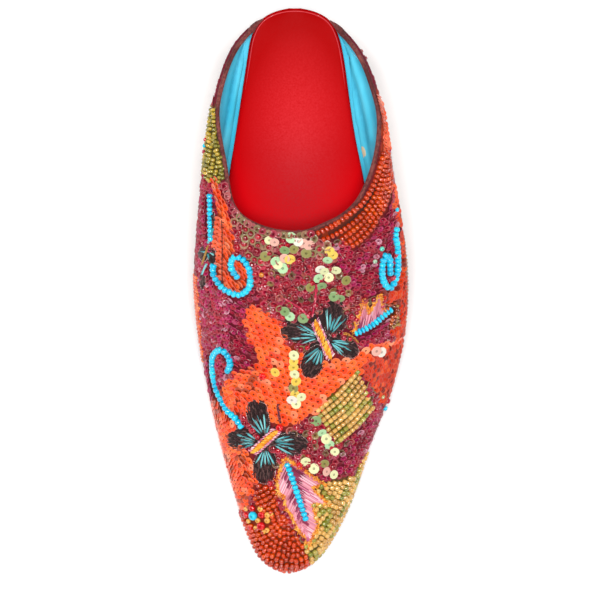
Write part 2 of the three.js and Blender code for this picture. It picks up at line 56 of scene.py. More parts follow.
# %% Camera over the shoe
IMAGE_SIDE = 600
SENSOR = 36.0
CAMERA_HEIGHT = 2.0
CAMERA_OVER = (-0.0003, -0.0030)
FLOOR_PER_PIXEL = 0.434 * MM
MIDDLE_PIXEL = (175.0, 300.0)

camera_data = bpy.data.cameras.new("overhead_camera")
camera_data.sensor_width = SENSOR
camera_data.lens = SENSOR * CAMERA_HEIGHT / (FLOOR_PER_PIXEL * IMAGE_SIDE)
camera = bpy.data.objects.new("overhead_camera", camera_data)
camera.location = (*CAMERA_OVER, CAMERA_HEIGHT)
bpy.context.scene.collection.objects.link(camera)
bpy.context.scene.camera = camera
print("lens mm:", round(camera_data.lens, 1))


# %% Pixels to rays, and points to pixels
def ray_of(px, py):
    """Where the sight line of a photograph's pixel starts, and its direction."""
    start = Vector((*CAMERA_OVER, CAMERA_HEIGHT))
    floor = Vector((CAMERA_OVER[0] + (px - MIDDLE_PIXEL[0]) * FLOOR_PER_PIXEL,
                    CAMERA_OVER[1] - (py - MIDDLE_PIXEL[1]) * FLOOR_PER_PIXEL, 0.0))
    return start, (floor - start).normalized()


def pixels_of(points):
    """The photograph's pixels of points of the shoe."""
    points = np.asarray(points, float)
    scale = CAMERA_HEIGHT / (CAMERA_HEIGHT - points[..., 2]) / FLOOR_PER_PIXEL
    return np.stack([MIDDLE_PIXEL[0] + (points[..., 0] - CAMERA_OVER[0]) * scale,
                     MIDDLE_PIXEL[1] - (points[..., 1] - CAMERA_OVER[1]) * scale], -1)


# %% [markdown]
# ## Floor and light
# A pale seamless floor and broad soft boxes give the even light of a catalogue picture. A soft box is an area
# light: the larger it is, the softer the shadow, and each glossy bead mirrors it as a small white spot.

# %% Colours and nodes
def linear(hex_colour):
    """An sRGB hex value as linear red, green, blue."""
    parts = [int(hex_colour[i:i + 2], 16) / 255 for i in (1, 3, 5)]
    return tuple(c / 12.92 if c <= 0.04045 else ((c + 0.055) / 1.055) ** 2.4 for c in parts)


def paint(hex_colour):
    """An sRGB hex value as the colour of a socket."""
    return (*linear(hex_colour), 1.0)


def add(tree, kind, sockets=None, stops=(), **settings):
    """Adds a shader node with its settings, by name or by socket. Each of the sockets gets a value, or a link from
    an output or from a node's first output. Stops are the shares and hex colours of a colour ramp."""
    node = tree.nodes.new(kind)
    for name, value in settings.items():
        if hasattr(node, name):
            setattr(node, name, value)
        else:
            node.inputs[name.replace("_", " ")].default_value = value
    for socket, source in (sockets or {}).items():
        if isinstance(source, (float, tuple)):
            node.inputs[socket].default_value = source
        else:
            tree.links.new(getattr(source, "outputs", [source])[0], node.inputs[socket])
    if stops:
        for share, _ in stops[1:-1]:
            node.color_ramp.elements.new(share)
        for stop, (share, hex_colour) in zip(node.color_ramp.elements, stops):
            stop.position, stop.color = share, paint(hex_colour)
    return node


def new_material(name):
    """An empty material, the tree to add to, and the object's own coordinates for its patterns."""
    material = bpy.data.materials.new(name)
    material.use_nodes = True
    tree = material.node_tree
    tree.nodes.clear()
    return material, tree, add(tree, "ShaderNodeTexCoord").outputs["Object"]


# %% Floor
bpy.ops.object.select_all(action="DESELECT")
bpy.ops.mesh.primitive_plane_add(size=6.0, location=(0, 0, 0))
floor = bpy.context.active_object
floor.name = "floor"
# Matt backdrop paper: nearly white, with a faint mottle that only keeps it from being a flat card.
floor_material, tree, place = new_material("matt_backdrop_paper")
mottle = add(tree, "ShaderNodeTexNoise", {"Vector": place}, Scale=40.0, Detail=2.0)
tone = add(tree, "ShaderNodeValToRGB", {"Fac": mottle}, [(0.0, "#F4F4F4"), (1.0, "#F8F8F8")])
paper = add(tree, "ShaderNodeBsdfPrincipled", {"Base Color": tone}, Roughness=0.9)
add(tree, "ShaderNodeOutputMaterial", {"Surface": paper})
floor.data.materials.append(floor_material)

# %% Soft boxes and the room's light
SOFT_BOXES = [
    ("box_over", (0.0, 0.0, 2.5), 0.7, 62.0),
    ("box_left", (-1.5, 0.3, 1.3), 1.0, 11.0),
    ("box_right", (1.5, 0.2, 1.2), 1.0, 8.0),
    ("box_toe", (0.1, -1.7, 1.3), 1.0, 8.0),
]
for name, place, side, power in SOFT_BOXES:
    light_data = bpy.data.lights.new(name, "AREA")
    light_data.shape = "SQUARE"
    light_data.size = side
    light_data.energy = power
    light = bpy.data.objects.new(name, light_data)
    light.location = place
    light.rotation_euler = (-Vector(place)).to_track_quat("-Z", "Y").to_euler()
    bpy.context.scene.collection.objects.link(light)

world = bpy.data.worlds.new("white_room")
world.use_nodes = True
world.node_tree.nodes["Background"].inputs["Color"].default_value = paint("#FFFFFF")
world.node_tree.nodes["Background"].inputs["Strength"].default_value = 0.15
bpy.context.scene.world = world
bpy.context.scene.view_settings.view_transform = "Standard"
print("soft boxes:", len(SOFT_BOXES))


# %% [markdown]
# ## Smooth copies of the CAD pieces
# A CAD node arrives as loose flat triangles. To give leather and cloth a soft surface, a copy is merged, its
# triangles are paired into quads, hard edges are creased, and one or two levels of subdivision round the
# rest. The CAD node is then hidden and the copy stands for it, in the same place.

# %% Copy, merge and subdivide a CAD node
MERGE_WITHIN, CREASE = 0.002 * MM, 0.9
PAIR_FACES, PAIR_SHAPES, SOFT_EDGE = math.radians(40), math.radians(70), math.radians(40)


def activate(piece):
    """Puts a new object in the scene, as the only one that is selected."""
    bpy.ops.object.select_all(action="DESELECT")
    bpy.context.scene.collection.objects.link(piece)
    piece.select_set(True)
    bpy.context.view_layer.objects.active = piece


def smooth_copy(name, node, *materials, levels=1, hard_edge=50):
    """A rounded copy of a CAD node. Its edges that turn by more than hard_edge degrees stay crisp."""
    piece = bpy.data.objects.new(name, NODES[node].data.copy())
    activate(piece)
    piece.data.materials.clear()
    for material in materials:
        piece.data.materials.append(material)
    bpy.ops.mesh.customdata_custom_splitnormals_clear()
    bpy.ops.object.mode_set(mode="EDIT")
    bpy.ops.mesh.select_all(action="SELECT")
    bpy.ops.mesh.remove_doubles(threshold=MERGE_WITHIN)
    bpy.ops.mesh.tris_convert_to_quads(face_threshold=PAIR_FACES, shape_threshold=PAIR_SHAPES)
    bpy.ops.mesh.select_mode(type="EDGE")
    bpy.ops.mesh.select_all(action="DESELECT")
    bpy.ops.mesh.edges_select_sharp(sharpness=math.radians(hard_edge))
    bpy.ops.transform.edge_crease(value=CREASE)
    bpy.ops.object.mode_set(mode="OBJECT")
    rounding = piece.modifiers.new("rounding", "SUBSURF")
    rounding.levels = rounding.render_levels = levels
    bpy.ops.object.modifier_apply(modifier=rounding.name)
    bpy.ops.object.shade_smooth_by_angle(angle=SOFT_EDGE)
    return piece


def keep(piece, slot, *stands_for):
    """Fixes a finished piece to the shoe, and hides the CAD nodes it stands for. The slot is not used."""
    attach(piece, "root")
    if stands_for:
        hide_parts(*stands_for)
    print(piece.name, "faces:", len(piece.data.polygons))
    return piece


# %% [markdown]
# ## Sole, heel and top piece
# The picture shows none of these, so they are plain shoemaker's work: a natural leather sole with a darker
# burnished edge, a heel covered in wine cloth, and a hard rubber top piece that touches the ground.

# %% A grained material
def grained_material(name, grain, detail, gloss, bump, stops=None, patch=None, **shader):
    """A material with one fine noise pattern, its grain in mm. The noise moves the colour along the stops, the
    roughness between the two values of gloss, and the surface by bump, a strength and a depth in mm. A patch, its
    size in mm and its detail, makes the colour uneven. Without stops, each copy's own tint is the colour."""
    material, tree, place = new_material(name)
    noise = shade = add(tree, "ShaderNodeTexNoise", {"Vector": place}, Scale=1 / (grain * MM), Detail=detail)
    if patch:
        broad = add(tree, "ShaderNodeTexNoise", {"Vector": place}, Scale=1 / (patch[0] * MM), Detail=patch[1])
        shade = add(tree, "ShaderNodeMath", {0: noise, 1: broad}, operation="MULTIPLY")
    if stops:
        colour = add(tree, "ShaderNodeValToRGB", {"Fac": shade}, stops)
    else:
        colour = add(tree, "ShaderNodeAttribute", attribute_name="tint")
    rough = add(tree, "ShaderNodeMapRange", {"Value": noise}, To_Min=gloss[0], To_Max=gloss[1])
    relief = add(tree, "ShaderNodeBump", {"Height": noise}, Strength=bump[0], Distance=bump[1] * MM)
    skin = add(tree, "ShaderNodeBsdfPrincipled", {"Base Color": colour, "Roughness": rough, "Normal": relief}, **shader)
    add(tree, "ShaderNodeOutputMaterial", {"Surface": skin})
    print(name, "nodes:", len(tree.nodes))
    return material


# %% Leather sole
# Vegetable-tanned leather: matt, tan, with fine fibre mottling and a slightly polished skin.
sole_material = grained_material("natural_sole_leather", 1.4, 6.0, (0.42, 0.62), (0.25, 0.15),
                                 [(0.12, "#9A6B40"), (0.42, "#C99A68")], patch=(22, 3.0), Coat_Weight=0.08)
# The cut edge of the sole is waxed and rubbed hot: darker, smoother and with a low shine.
edge_material = grained_material("burnished_sole_edge", 3, 4.0, (0.25, 0.42), (0.15, 0.1),
                                 [(0.0, "#5A3320"), (1.0, "#7C4C2E")], Coat_Weight=0.25)
EDGE_FACES_SIDEWAYS = 0.45
sole = smooth_copy("leather_outsole", "outsole", sole_material, edge_material, hard_edge=40)
for face in sole.data.polygons:
    face.material_index = int(face.normal.z > -EDGE_FACES_SIDEWAYS)
keep(sole, "sole_leather", "outsole")

# %% Wine heel cloth
# Plain-weave cotton pulled tight round the heel block. Real threads are 0.3 mm apart, drawn here at 0.7 mm
# so that the weave shows.
THREAD = 0.7 * MM
heel_material, tree, place = new_material("wine_heel_cloth")
warp, weft = (add(tree, "ShaderNodeTexWave", {"Vector": place}, Scale=1 / THREAD / 20 * math.pi, bands_direction=way,
                  Distortion=0.6, Detail=1.0) for way in "ZX")
weave = add(tree, "ShaderNodeMath", {0: warp.outputs["Fac"], 1: weft.outputs["Fac"]}, operation="MAXIMUM")
slub = add(tree, "ShaderNodeTexNoise", {"Vector": place}, Scale=1 / (6 * MM), Detail=3.0)
wine = add(tree, "ShaderNodeValToRGB", {"Fac": slub}, [(0.0, "#5E1326"), (1.0, "#7E2236")])
cloth_gloss = add(tree, "ShaderNodeMapRange", {"Value": weave}, To_Min=0.8, To_Max=0.6)
threads = add(tree, "ShaderNodeBump", {"Height": weave}, Strength=0.5, Distance=0.15 * MM)
cover = add(tree, "ShaderNodeBsdfPrincipled", {"Base Color": wine, "Roughness": cloth_gloss, "Normal": threads},
            Sheen_Weight=0.25, Sheen_Roughness=0.5)
add(tree, "ShaderNodeOutputMaterial", {"Surface": cover})
keep(smooth_copy("cloth_covered_heel", "heel", heel_material), "heel_cover", "heel")

# %% Top-piece rubber
# Dense dark rubber: nearly matt, with the fine grit of a sanded edge.
rubber_material = grained_material("hard_top_piece_rubber", 0.6, 4.0, (0.6, 0.8), (0.2, 0.1),
                                   [(0.0, "#1C1716"), (1.0, "#2C2523")], Coat_Weight=0.03)
keep(smooth_copy("rubber_top_piece", "heel_top_piece", rubber_material, hard_edge=40),
     "top_piece_rubber", "heel_top_piece")

# %% [markdown]
# ## Insole
# A red leather insole runs from the heel down into the shoe. Its colour carries painted light: a ramp along
# the foot makes it deepest at the heel's end and brighter towards the toe, against the shade inside the shoe,
# and a spherical gradient stretched along the foot paints a pool of light in the middle. A fine cell pattern raises the
# grain.

# %% Red insole leather
# Smooth dyed kid: saturated red, fine even grain, hardly any shine.
HEEL_END_Y, THROAT_END_Y = 116 * MM, 28 * MM
# Painted light: the middle and the reach of a pool of light painted on the insole.
INSOLE_PAINTED_LIGHT_MIDDLE = (-1 * MM, 58 * MM, 50 * MM)
INSOLE_PAINTED_LIGHT_REACH = (25 * MM, 54 * MM, 120 * MM)
# Painted light along the foot: deepest at the heel's end, brighter towards the toe against the shade inside the shoe.
INSOLE_REDS_PAINTED_LIGHT = [(0.0, "#970001"), (0.3, "#AA0003"), (0.65, "#C20208"), (1.0, "#EC0612")]
GRAIN = 0.9 * MM   # real kid is about 0.4 mm, drawn coarser so that it shows
insole_material, tree, place = new_material("red_kid_leather")
split = add(tree, "ShaderNodeSeparateXYZ", {"Vector": place})
forward = add(tree, "ShaderNodeMapRange", {"Value": split.outputs["Y"]}, From_Min=HEEL_END_Y, From_Max=THROAT_END_Y)
lengthwise_painted_light = add(tree, "ShaderNodeValToRGB", {"Fac": forward}, INSOLE_REDS_PAINTED_LIGHT)
centred = add(tree, "ShaderNodeMapping", {"Vector": place}, vector_type="TEXTURE", Location=INSOLE_PAINTED_LIGHT_MIDDLE,
              Scale=INSOLE_PAINTED_LIGHT_REACH)
# A spherical gradient paints the pool of light, mixed towards a brighter red.
painted_light_pool = add(tree, "ShaderNodeTexGradient", {"Vector": centred}, gradient_type="SPHERICAL")
cells = add(tree, "ShaderNodeTexVoronoi", {"Vector": place}, Scale=1 / GRAIN)
speck = add(tree, "ShaderNodeTexNoise", {"Vector": place}, Scale=1 / (0.8 * MM), Detail=4.0)
speckled = add(tree, "ShaderNodeMath", {0: speck, 1: painted_light_pool.outputs["Fac"]}, operation="MULTIPLY")
painted_light_share = add(tree, "ShaderNodeMapRange", {"Value": speckled}, From_Max=0.5)
painted_light_red = add(tree, "ShaderNodeMix", {0: painted_light_share, 6: lengthwise_painted_light, 7: paint("#C8282E")}, data_type="RGBA")
kid_gloss = add(tree, "ShaderNodeMapRange", {"Value": cells}, To_Min=0.5, To_Max=0.62)
pebble = add(tree, "ShaderNodeBump", {"Height": cells}, Strength=0.18, Distance=0.08 * MM)
kid = add(tree, "ShaderNodeBsdfPrincipled",
          {"Base Color": painted_light_red.outputs[2], "Roughness": kid_gloss, "Normal": pebble},
          Specular_IOR_Level=0.03, Coat_Weight=0.01, Coat_Roughness=0.4)
add(tree, "ShaderNodeOutputMaterial", {"Surface": kid})
insole = keep(smooth_copy("red_leather_insole", "insole", insole_material, levels=2, hard_edge=60),
              "insole_leather", "insole")

# %% [markdown]
# The leather is turned over the board's edge, and a fine ridge shows a little inside it, round the heel. A
# path is read from the insole itself: from a middle point, the edge is searched at rising angles, and the path
# runs a little inside it. A thin round bar along the path is the ridge.

# %% A ridge along a path
def search_tree(mesh, faces=None):
    """A tree of a mesh's faces, or of some of them, that finds the nearest place and where a ray meets them."""
    faces = mesh.polygons if faces is None else faces
    return BVHTree.FromPolygons([v.co for v in mesh.vertices], [tuple(f.vertices) for f in faces])


insole_tree = search_tree(insole.data)
ABOVE = 0.2


def on_insole(x, y):
    """The insole's top under a place, or None beside it."""
    return insole_tree.ray_cast(Vector((x, y, ABOVE)), Vector((0, 0, -1)))[0]


def ridge(name, points, radii, material):
    """A round ridge along a path of points, thicker or thinner by radii, as a mesh."""
    curve = bpy.data.curves.new(name, "CURVE")
    curve.dimensions, curve.bevel_depth, curve.bevel_resolution, curve.use_fill_caps = "3D", 1.0, 1, True
    path = curve.splines.new("POLY")
    path.points.add(len(points) - 1)
    for point, place, radius in zip(path.points, points, radii):
        point.co, point.radius = (*place, 1.0), radius
    activate(bpy.data.objects.new(name, curve))
    bpy.ops.object.convert(target="MESH")
    bpy.ops.object.shade_smooth()
    bpy.context.active_object.data.materials.append(material)
    return bpy.context.active_object


# %% Rolled rim of the insole
# The ridge is the same leather, a little shinier, and paler: a painted highlight along the rolled edge.
RIM_INSET, RIM_RADIUS, RIM_MIDDLE = 1.2 * MM, 0.24 * MM, np.array([-2.1 * MM, 84 * MM])
RIM_ANGLES, RIM_FADE, RIM_THINNEST = np.radians(np.arange(4, 177, 4)), 6, 0.15
EDGE_NEAREST, EDGE_FURTHEST, HALVINGS = 10 * MM, 60 * MM, 14
edge = []
for angle in RIM_ANGLES:
    ahead = np.array([math.cos(angle), math.sin(angle)])
    low, high = EDGE_NEAREST, EDGE_FURTHEST
    for _ in range(HALVINGS):
        half = (low + high) / 2
        low, high = (half, high) if on_insole(*(RIM_MIDDLE + half * ahead)) else (low, half)
    edge.append(RIM_MIDDLE + low * ahead)
edge = np.array(edge)
tangent = np.gradient(edge, axis=0)
inward = np.stack([-tangent[:, 1], tangent[:, 0]], 1) / np.linalg.norm(tangent, axis=1, keepdims=True)
rim_path = [on_insole(*place) for place in edge + inward * RIM_INSET]
from_end = np.minimum(np.arange(len(edge)), np.arange(len(edge))[::-1])
rim_material = grained_material("red_rim_painted_highlight", 8, 3.0, (0.3, 0.45), (0.1, 0.1),
                                [(0.0, "#B41620"), (1.0, "#D2444C")], Specular_IOR_Level=0.2,
                                Coat_Weight=0.05)
keep(ridge("insole_rolled_rim", rim_path, RIM_RADIUS * np.clip(from_end / RIM_FADE, RIM_THINNEST, 1), rim_material),
     "insole_leather")

# %% [markdown]
# ## Upper: ground cloth outside, blue leather inside
# The upper is one hollow wall. Its outside is a dyed ground cloth that carries the beadwork, and its
# inside is lined with turquoise leather. A copy of the wall is subdivided, and each face is given the cloth or
# the leather by whether it looks away from the foot or towards it.

# %% Sections of the upper
upper = smooth_copy("lasted_upper", "upper", levels=2, hard_edge=28)
wall = np.array([v.co for v in upper.data.vertices])
BAND = 3.0 * MM
SPINE_HEIGHT = 0.35
TOE_FAN_Y = -88 * MM


def section_at(y):
    """Middle x, and a height inside the wall, of the upper's section at y."""
    near = wall[np.abs(wall[:, 1] - y) < BAND]
    low, high = near[:, 2].min(), near[:, 2].max()
    return (near[:, 0].min() + near[:, 0].max()) / 2, low + SPINE_HEIGHT * (high - low)


STATION_YS = np.arange(-88, 110.6, 1.0) * MM
spine_x, spine_z = np.array([section_at(y) for y in STATION_YS]).T
print("stations:", len(STATION_YS), "toe spine mm:", round(spine_x[0] / MM, 1), round(spine_z[0] / MM, 1))

# %% Outside or inside
BINDING_REACH = 0.35 * MM
SIDEWAYS_LEAST, REAR_FACING, REAR_END_Y = 0.12, 0.7, 95 * MM
binding_tree = search_tree(NODES["collar_binding"].data)
outside_faces, rim_faces = set(), set()
for face in upper.data.polygons:
    y = max(face.center.y, TOE_FAN_Y)
    spine = Vector((np.interp(y, STATION_YS, spine_x), y, np.interp(y, STATION_YS, spine_z)))
    away = (face.center - spine).normalized()
    sideways = face.normal.x * away.x + face.normal.y * away.y
    rear_end = face.normal.y > REAR_FACING and face.center.y > REAR_END_Y
    if face.normal.dot(away) > 0 or sideways > SIDEWAYS_LEAST or rear_end:
        outside_faces.add(face.index)
    if binding_tree.find_nearest(face.center, BINDING_REACH)[0] is not None:
        rim_faces.add(face.index)
print("outside faces:", len(outside_faces), "rim faces:", len(rim_faces), "of", len(upper.data.polygons))

# %% Search trees of the two skins
outer_tree, inner_tree = (
    search_tree(upper.data, [f for f in upper.data.polygons if (f.index in outside_faces) == outside])
    for outside in (True, False))
wall_tree = search_tree(upper.data)
ASIDE_STEPS, LEAST_UP = np.arange(0, 14, 0.5), 0.02


def touch(px, py, skin=outer_tree):
    """Point and normal of the upper where a pixel's sight line meets it, or the nearest one beside it does."""
    inward = math.copysign(1.0, MIDDLE_PIXEL[0] - px)
    for step in ASIDE_STEPS:
        for aside in (step * inward, -step * inward):
            start, direction = ray_of(px + aside, py)
            point, normal, _, _ = skin.ray_cast(start, direction)
            if point is not None and normal.z > LEAST_UP:
                return point, normal
    raise ValueError(f"no upper under pixel {px}, {py}")


print("instep mm:", [round(c / MM, 1) for c in touch(196, 336)[0]])

# %% [markdown]
# ## Lining creases
# The blue leather was pulled over the last and has soft slanted creases beside the insole. They are listed:
# each is a line of pixels, laid on the inner wall, and every point of the wall near it moves a little
# in or out, less the further it is from the line.

# %% Press the creases into the inner wall
# Each crease: its line of pixels, its depth in mm (minus is a ridge) and its half width in mm. The bottom of a
# crease is also marked in an attribute, and the leather is painted darker there: painted shade in the crease.
FOLD_SHADE = 0.8
LINING_CREASES = [
    ([(121, 40), (112, 70), (105, 104), (99, 140)], 0.8, 1.4),
    ([(117, 62), (110, 92), (106, 118)], -0.6, 1.6),
    ([(222, 58), (229, 85), (233.5, 104), (237, 122), (240, 140), (246, 166)], 0.95, 1.2),
    ([(226, 58), (237, 92), (243, 120), (246, 140)], -0.6, 1.7),
    ([(219, 62), (226, 96), (232, 122)], -0.5, 1.4),
]


def between(points, count):
    """A smooth line through given points (a Catmull-Rom curve)."""
    points = np.asarray(points, float)
    ends = np.vstack([2 * points[0] - points[1], points, 2 * points[-1] - points[-2]])
    out = []
    for t in np.linspace(0, len(points) - 1 - 1e-9, count):
        k, f = int(t), t % 1
        a, b, c, d = ends[k:k + 4]
        out.append(0.5 * (2 * b + (c - a) * f + (2 * a - 5 * b + 4 * c - d) * f ** 2
                          + (3 * b - a - 3 * c + d) * f ** 3))
    return np.array(out)


inner_points = sorted({i for f in upper.data.polygons if f.index not in outside_faces for i in f.vertices}
                      - {i for f in upper.data.polygons if f.index in outside_faces for i in f.vertices})
spots = np.array([upper.data.vertices[i].co for i in inner_points])
normals = np.array([upper.data.vertices[i].normal for i in inner_points])
moved, crease_shade_weight = np.zeros(len(inner_points)), np.zeros(len(upper.data.vertices))
for line, depth, half in LINING_CREASES:
    laid = np.array([touch(px, py, inner_tree)[0] for px, py in between(line, 40)])
    far = np.linalg.norm(spots[:, None] - laid[None], axis=2).min(1)
    moved -= depth * MM * np.exp(-(far / (half * MM)) ** 2)
    if depth > 0:
        crease_shade_weight[inner_points] += np.exp(-(far / (FOLD_SHADE * MM)) ** 2)
for i, spot in zip(inner_points, spots + normals * moved[:, None]):
    upper.data.vertices[i].co = spot
fold = upper.data.attributes.new("fold", "FLOAT", "POINT")
fold.data.foreach_set("value", np.clip(crease_shade_weight, 0, 1).astype(np.float32))
print("creased points:", int((np.abs(moved) > 0.05 * MM).sum()))

# %% Turquoise lining leather
# Thin dyed sheepskin: clear blue, soft shine, fine wrinkles across the pull, and one worn spot down to beige.
SCUFF_PIXEL = (238, 152)
SCUFF_REACH = (1.7 * MM, 3.4 * MM, 3.4 * MM)
lining_material, tree, place = new_material("turquoise_lining_sheepskin")
pull = add(tree, "ShaderNodeMapping", {"Vector": place}, Scale=(1.0, 0.25, 1.0), Rotation=(0.0, 0.0, 0.25))
wrinkle = add(tree, "ShaderNodeTexNoise", {"Vector": pull}, Scale=1 / (1.6 * MM), Detail=5.0)
cloudy = add(tree, "ShaderNodeTexNoise", {"Vector": pull}, Scale=1 / (9 * MM), Detail=3.0)
blue = add(tree, "ShaderNodeValToRGB", {"Fac": cloudy}, [(0.3, "#34B4D4"), (0.7, "#60D0EA")])
scuff_map = add(tree, "ShaderNodeMapping", {"Vector": place}, vector_type="TEXTURE",
                Location=touch(*SCUFF_PIXEL, inner_tree)[0], Scale=SCUFF_REACH)
scuff = add(tree, "ShaderNodeTexGradient", {"Vector": scuff_map}, gradient_type="SPHERICAL")
ragged = add(tree, "ShaderNodeMath", {0: wrinkle, 1: 0.6, 2: scuff.outputs["Fac"]}, operation="MULTIPLY_ADD")
worn = add(tree, "ShaderNodeMapRange", {"Value": ragged}, From_Min=0.5, From_Max=0.58)
# Painted shade: the blue is mixed towards a deep blue at the bottom of each crease.
crease_shade_node = add(tree, "ShaderNodeAttribute", attribute_name="fold")
shade = add(tree, "ShaderNodeMath", {0: crease_shade_node.outputs["Fac"], 1: 0.6}, operation="MULTIPLY")
crease_shaded_blue = add(tree, "ShaderNodeMix", {0: shade, 6: blue, 7: paint("#1C6F96")}, data_type="RGBA")
mixed = add(tree, "ShaderNodeMix", {0: worn, 6: crease_shaded_blue.outputs[2], 7: paint("#D8C6A4")}, data_type="RGBA")
soft_gloss = add(tree, "ShaderNodeMapRange", {"Value": wrinkle}, To_Min=0.38, To_Max=0.55)
folds = add(tree, "ShaderNodeBump", {"Height": wrinkle}, Strength=0.3, Distance=0.2 * MM)
sheepskin = add(tree, "ShaderNodeBsdfPrincipled",
                {"Base Color": mixed.outputs[2], "Roughness": soft_gloss, "Normal": folds},
                Specular_IOR_Level=0.25, Coat_Weight=0.04, Coat_Roughness=0.35)
add(tree, "ShaderNodeOutputMaterial", {"Surface": sheepskin})

# %% Ground cloth
# Fine netting over cotton: matt and dark, seen only between the beads, and dyed near the colour of the beads
# that it carries. The dye is kept in an attribute, tint. Its mesh is drawn at 0.8 mm.
NET = 0.8 * MM
ground_material, tree, place = new_material("dyed_ground_cloth")
net = add(tree, "ShaderNodeTexVoronoi", {"Vector": place}, Scale=1 / NET)
stain = add(tree, "ShaderNodeTexNoise", {"Vector": place}, Scale=1 / (7 * MM), Detail=3.0)
dye = add(tree, "ShaderNodeAttribute", attribute_name="tint")
shade = add(tree, "ShaderNodeMapRange", {"Value": stain}, To_Min=0.7, To_Max=1.3)
dyed = add(tree, "ShaderNodeVectorMath", {0: dye, "Scale": shade}, operation="SCALE")
dull = add(tree, "ShaderNodeMapRange", {"Value": net}, To_Min=0.7, To_Max=0.9)
mesh_bump = add(tree, "ShaderNodeBump", {"Height": net}, Strength=0.5, Distance=0.2 * MM)
ground = add(tree, "ShaderNodeBsdfPrincipled", {"Base Color": dyed, "Roughness": dull, "Normal": mesh_bump},
             Specular_IOR_Level=0.2, Sheen_Weight=0.05, Coat_Weight=0.01)
add(tree, "ShaderNodeOutputMaterial", {"Surface": ground})

# %% Dress the upper
upper.data.materials.append(ground_material)
upper.data.materials.append(lining_material)
for face in upper.data.polygons:
    face.material_index = int(face.index not in outside_faces and face.index not in rim_faces)
keep(upper, "upper_cloth", "upper")

# %% Lining on the sole's floor
# The lining runs on over the sole beside the insole. A face of the sole has it where the wall stands outside it.
LOOK_UP = 0.6 * MM
sole.data.materials.append(lining_material)


def behind_wall(spot):
    """Whether the upper's wall stands outside a spot on the sole."""
    aside = math.copysign(1.0, spot.x - np.interp(spot.y, STATION_YS, spine_x))
    return wall_tree.ray_cast(spot + Vector((0, 0, LOOK_UP)), Vector((aside, 0, 0)))[0] is not None


for face in sole.data.polygons:
    if face.normal.z > EDGE_FACES_SIDEWAYS and all(behind_wall(sole.data.vertices[i].co) for i in face.vertices):
        face.material_index = 2
print("lined faces of the sole:", sum(face.material_index == 2 for face in sole.data.polygons))

# %% [markdown]
# ## Collar binding
# A narrow wine tape is folded over the collar and sewn down. It is rough to the touch, a little hairy, and its
# worn ridge is pinker. The CAD tape is rounded once, and the tape's ribs are raised by bump.

# %% Wine binding tape
RIB = 1.1   # in mm: real ribs are about 0.5 mm, drawn coarser so that they show
binding_material = grained_material("wine_binding_tape", RIB, 5.0, (0.65, 0.9), (0.7, 0.35),
                                    [(0.15, "#4E2020"), (0.42, "#8A4A44")], patch=(12, 2.0),
                                    Specular_IOR_Level=0.2, Sheen_Weight=0.06, Coat_Weight=0.01)
binding = keep(smooth_copy("collar_binding_tape", "collar_binding", binding_material, hard_edge=70),
               "binding_cloth", "collar_binding")

# %% Close the wall against the tape and the sole
# The tape is folded over the wall's edge and the wall's foot is lasted onto the sole, so neither joint lets
# daylight through. The points of the wall nearest to each of them are drawn a little way into it.
TUCK_REACH, TUCK_DEPTH = 1.25 * MM, 0.15 * MM
for joint in (binding, sole):
    joint_tree, tucked = search_tree(joint.data), 0
    for v in upper.data.vertices:
        spot, normal, _, _ = joint_tree.find_nearest(v.co, TUCK_REACH)
        if spot is not None:
            v.co = spot - normal * TUCK_DEPTH
            tucked += 1
    print(joint.name, "takes in points of the wall:", tucked)

# %% Ends of the binding
# At the heel the tape runs out in a thin tail beside the insole.
TAILS = {"left": [(125.7, 31.4), (128.3, 27.2), (132.2, 22.9), (138.5, 18.8)],
         "right": [(218.3, 34.4), (214.5, 29.4), (210.3, 25.1), (205, 20.8)]}
TAIL_RADII = np.array([1.5, 1.35, 0.9, 0.3]) * MM
TAIL_DROP, HEEL_END_FROM_Y = 0.6 * MM, 105 * MM
tail_z = max(v.co.z for v in insole.data.vertices if v.co.y > HEEL_END_FROM_Y) - TAIL_DROP


def at_height(px, py, z):
    """The place at a height that a pixel shows."""
    start, direction = ray_of(px, py)
    return start + direction * ((z - start.z) / direction.z)


for side, line in TAILS.items():
    path = [at_height(px, py, tail_z) for px, py in line]
    keep(ridge("binding_tail_" + side, path, TAIL_RADII, binding_material), "binding_cloth")

# %% [markdown]
# ## A map of the upper's skin
# Beads are sewn in rows that follow the sole's edge, also where the camera can't see. So the outside is
# measured once: at stations round the shoe (down one side, round the toe as a fan, and back up the other),
# rays come in from outside at rising angles, and their hits give a strip of the skin from the sole upward.
# A place on the skin is then a station and a height along the strip.

# %% Walk round the upper
FAN_STEP = 2.5
SKIN_STEP = 0.5 * MM
RAY_REACH, LEAST_TOWARDS = 0.16, 0.02
ELEVATIONS = np.radians(np.arange(-84, 90.1, 2.0))


def lengths(points):
    """How far along a line of points each of them lies."""
    return np.concatenate([[0], np.cumsum(np.linalg.norm(np.diff(points, axis=0), axis=1))])


def read_at(at, gone, values):
    """Columns of values along a line, read at other lengths."""
    return np.stack([np.interp(at, gone, column) for column in np.asarray(values).T], 1)


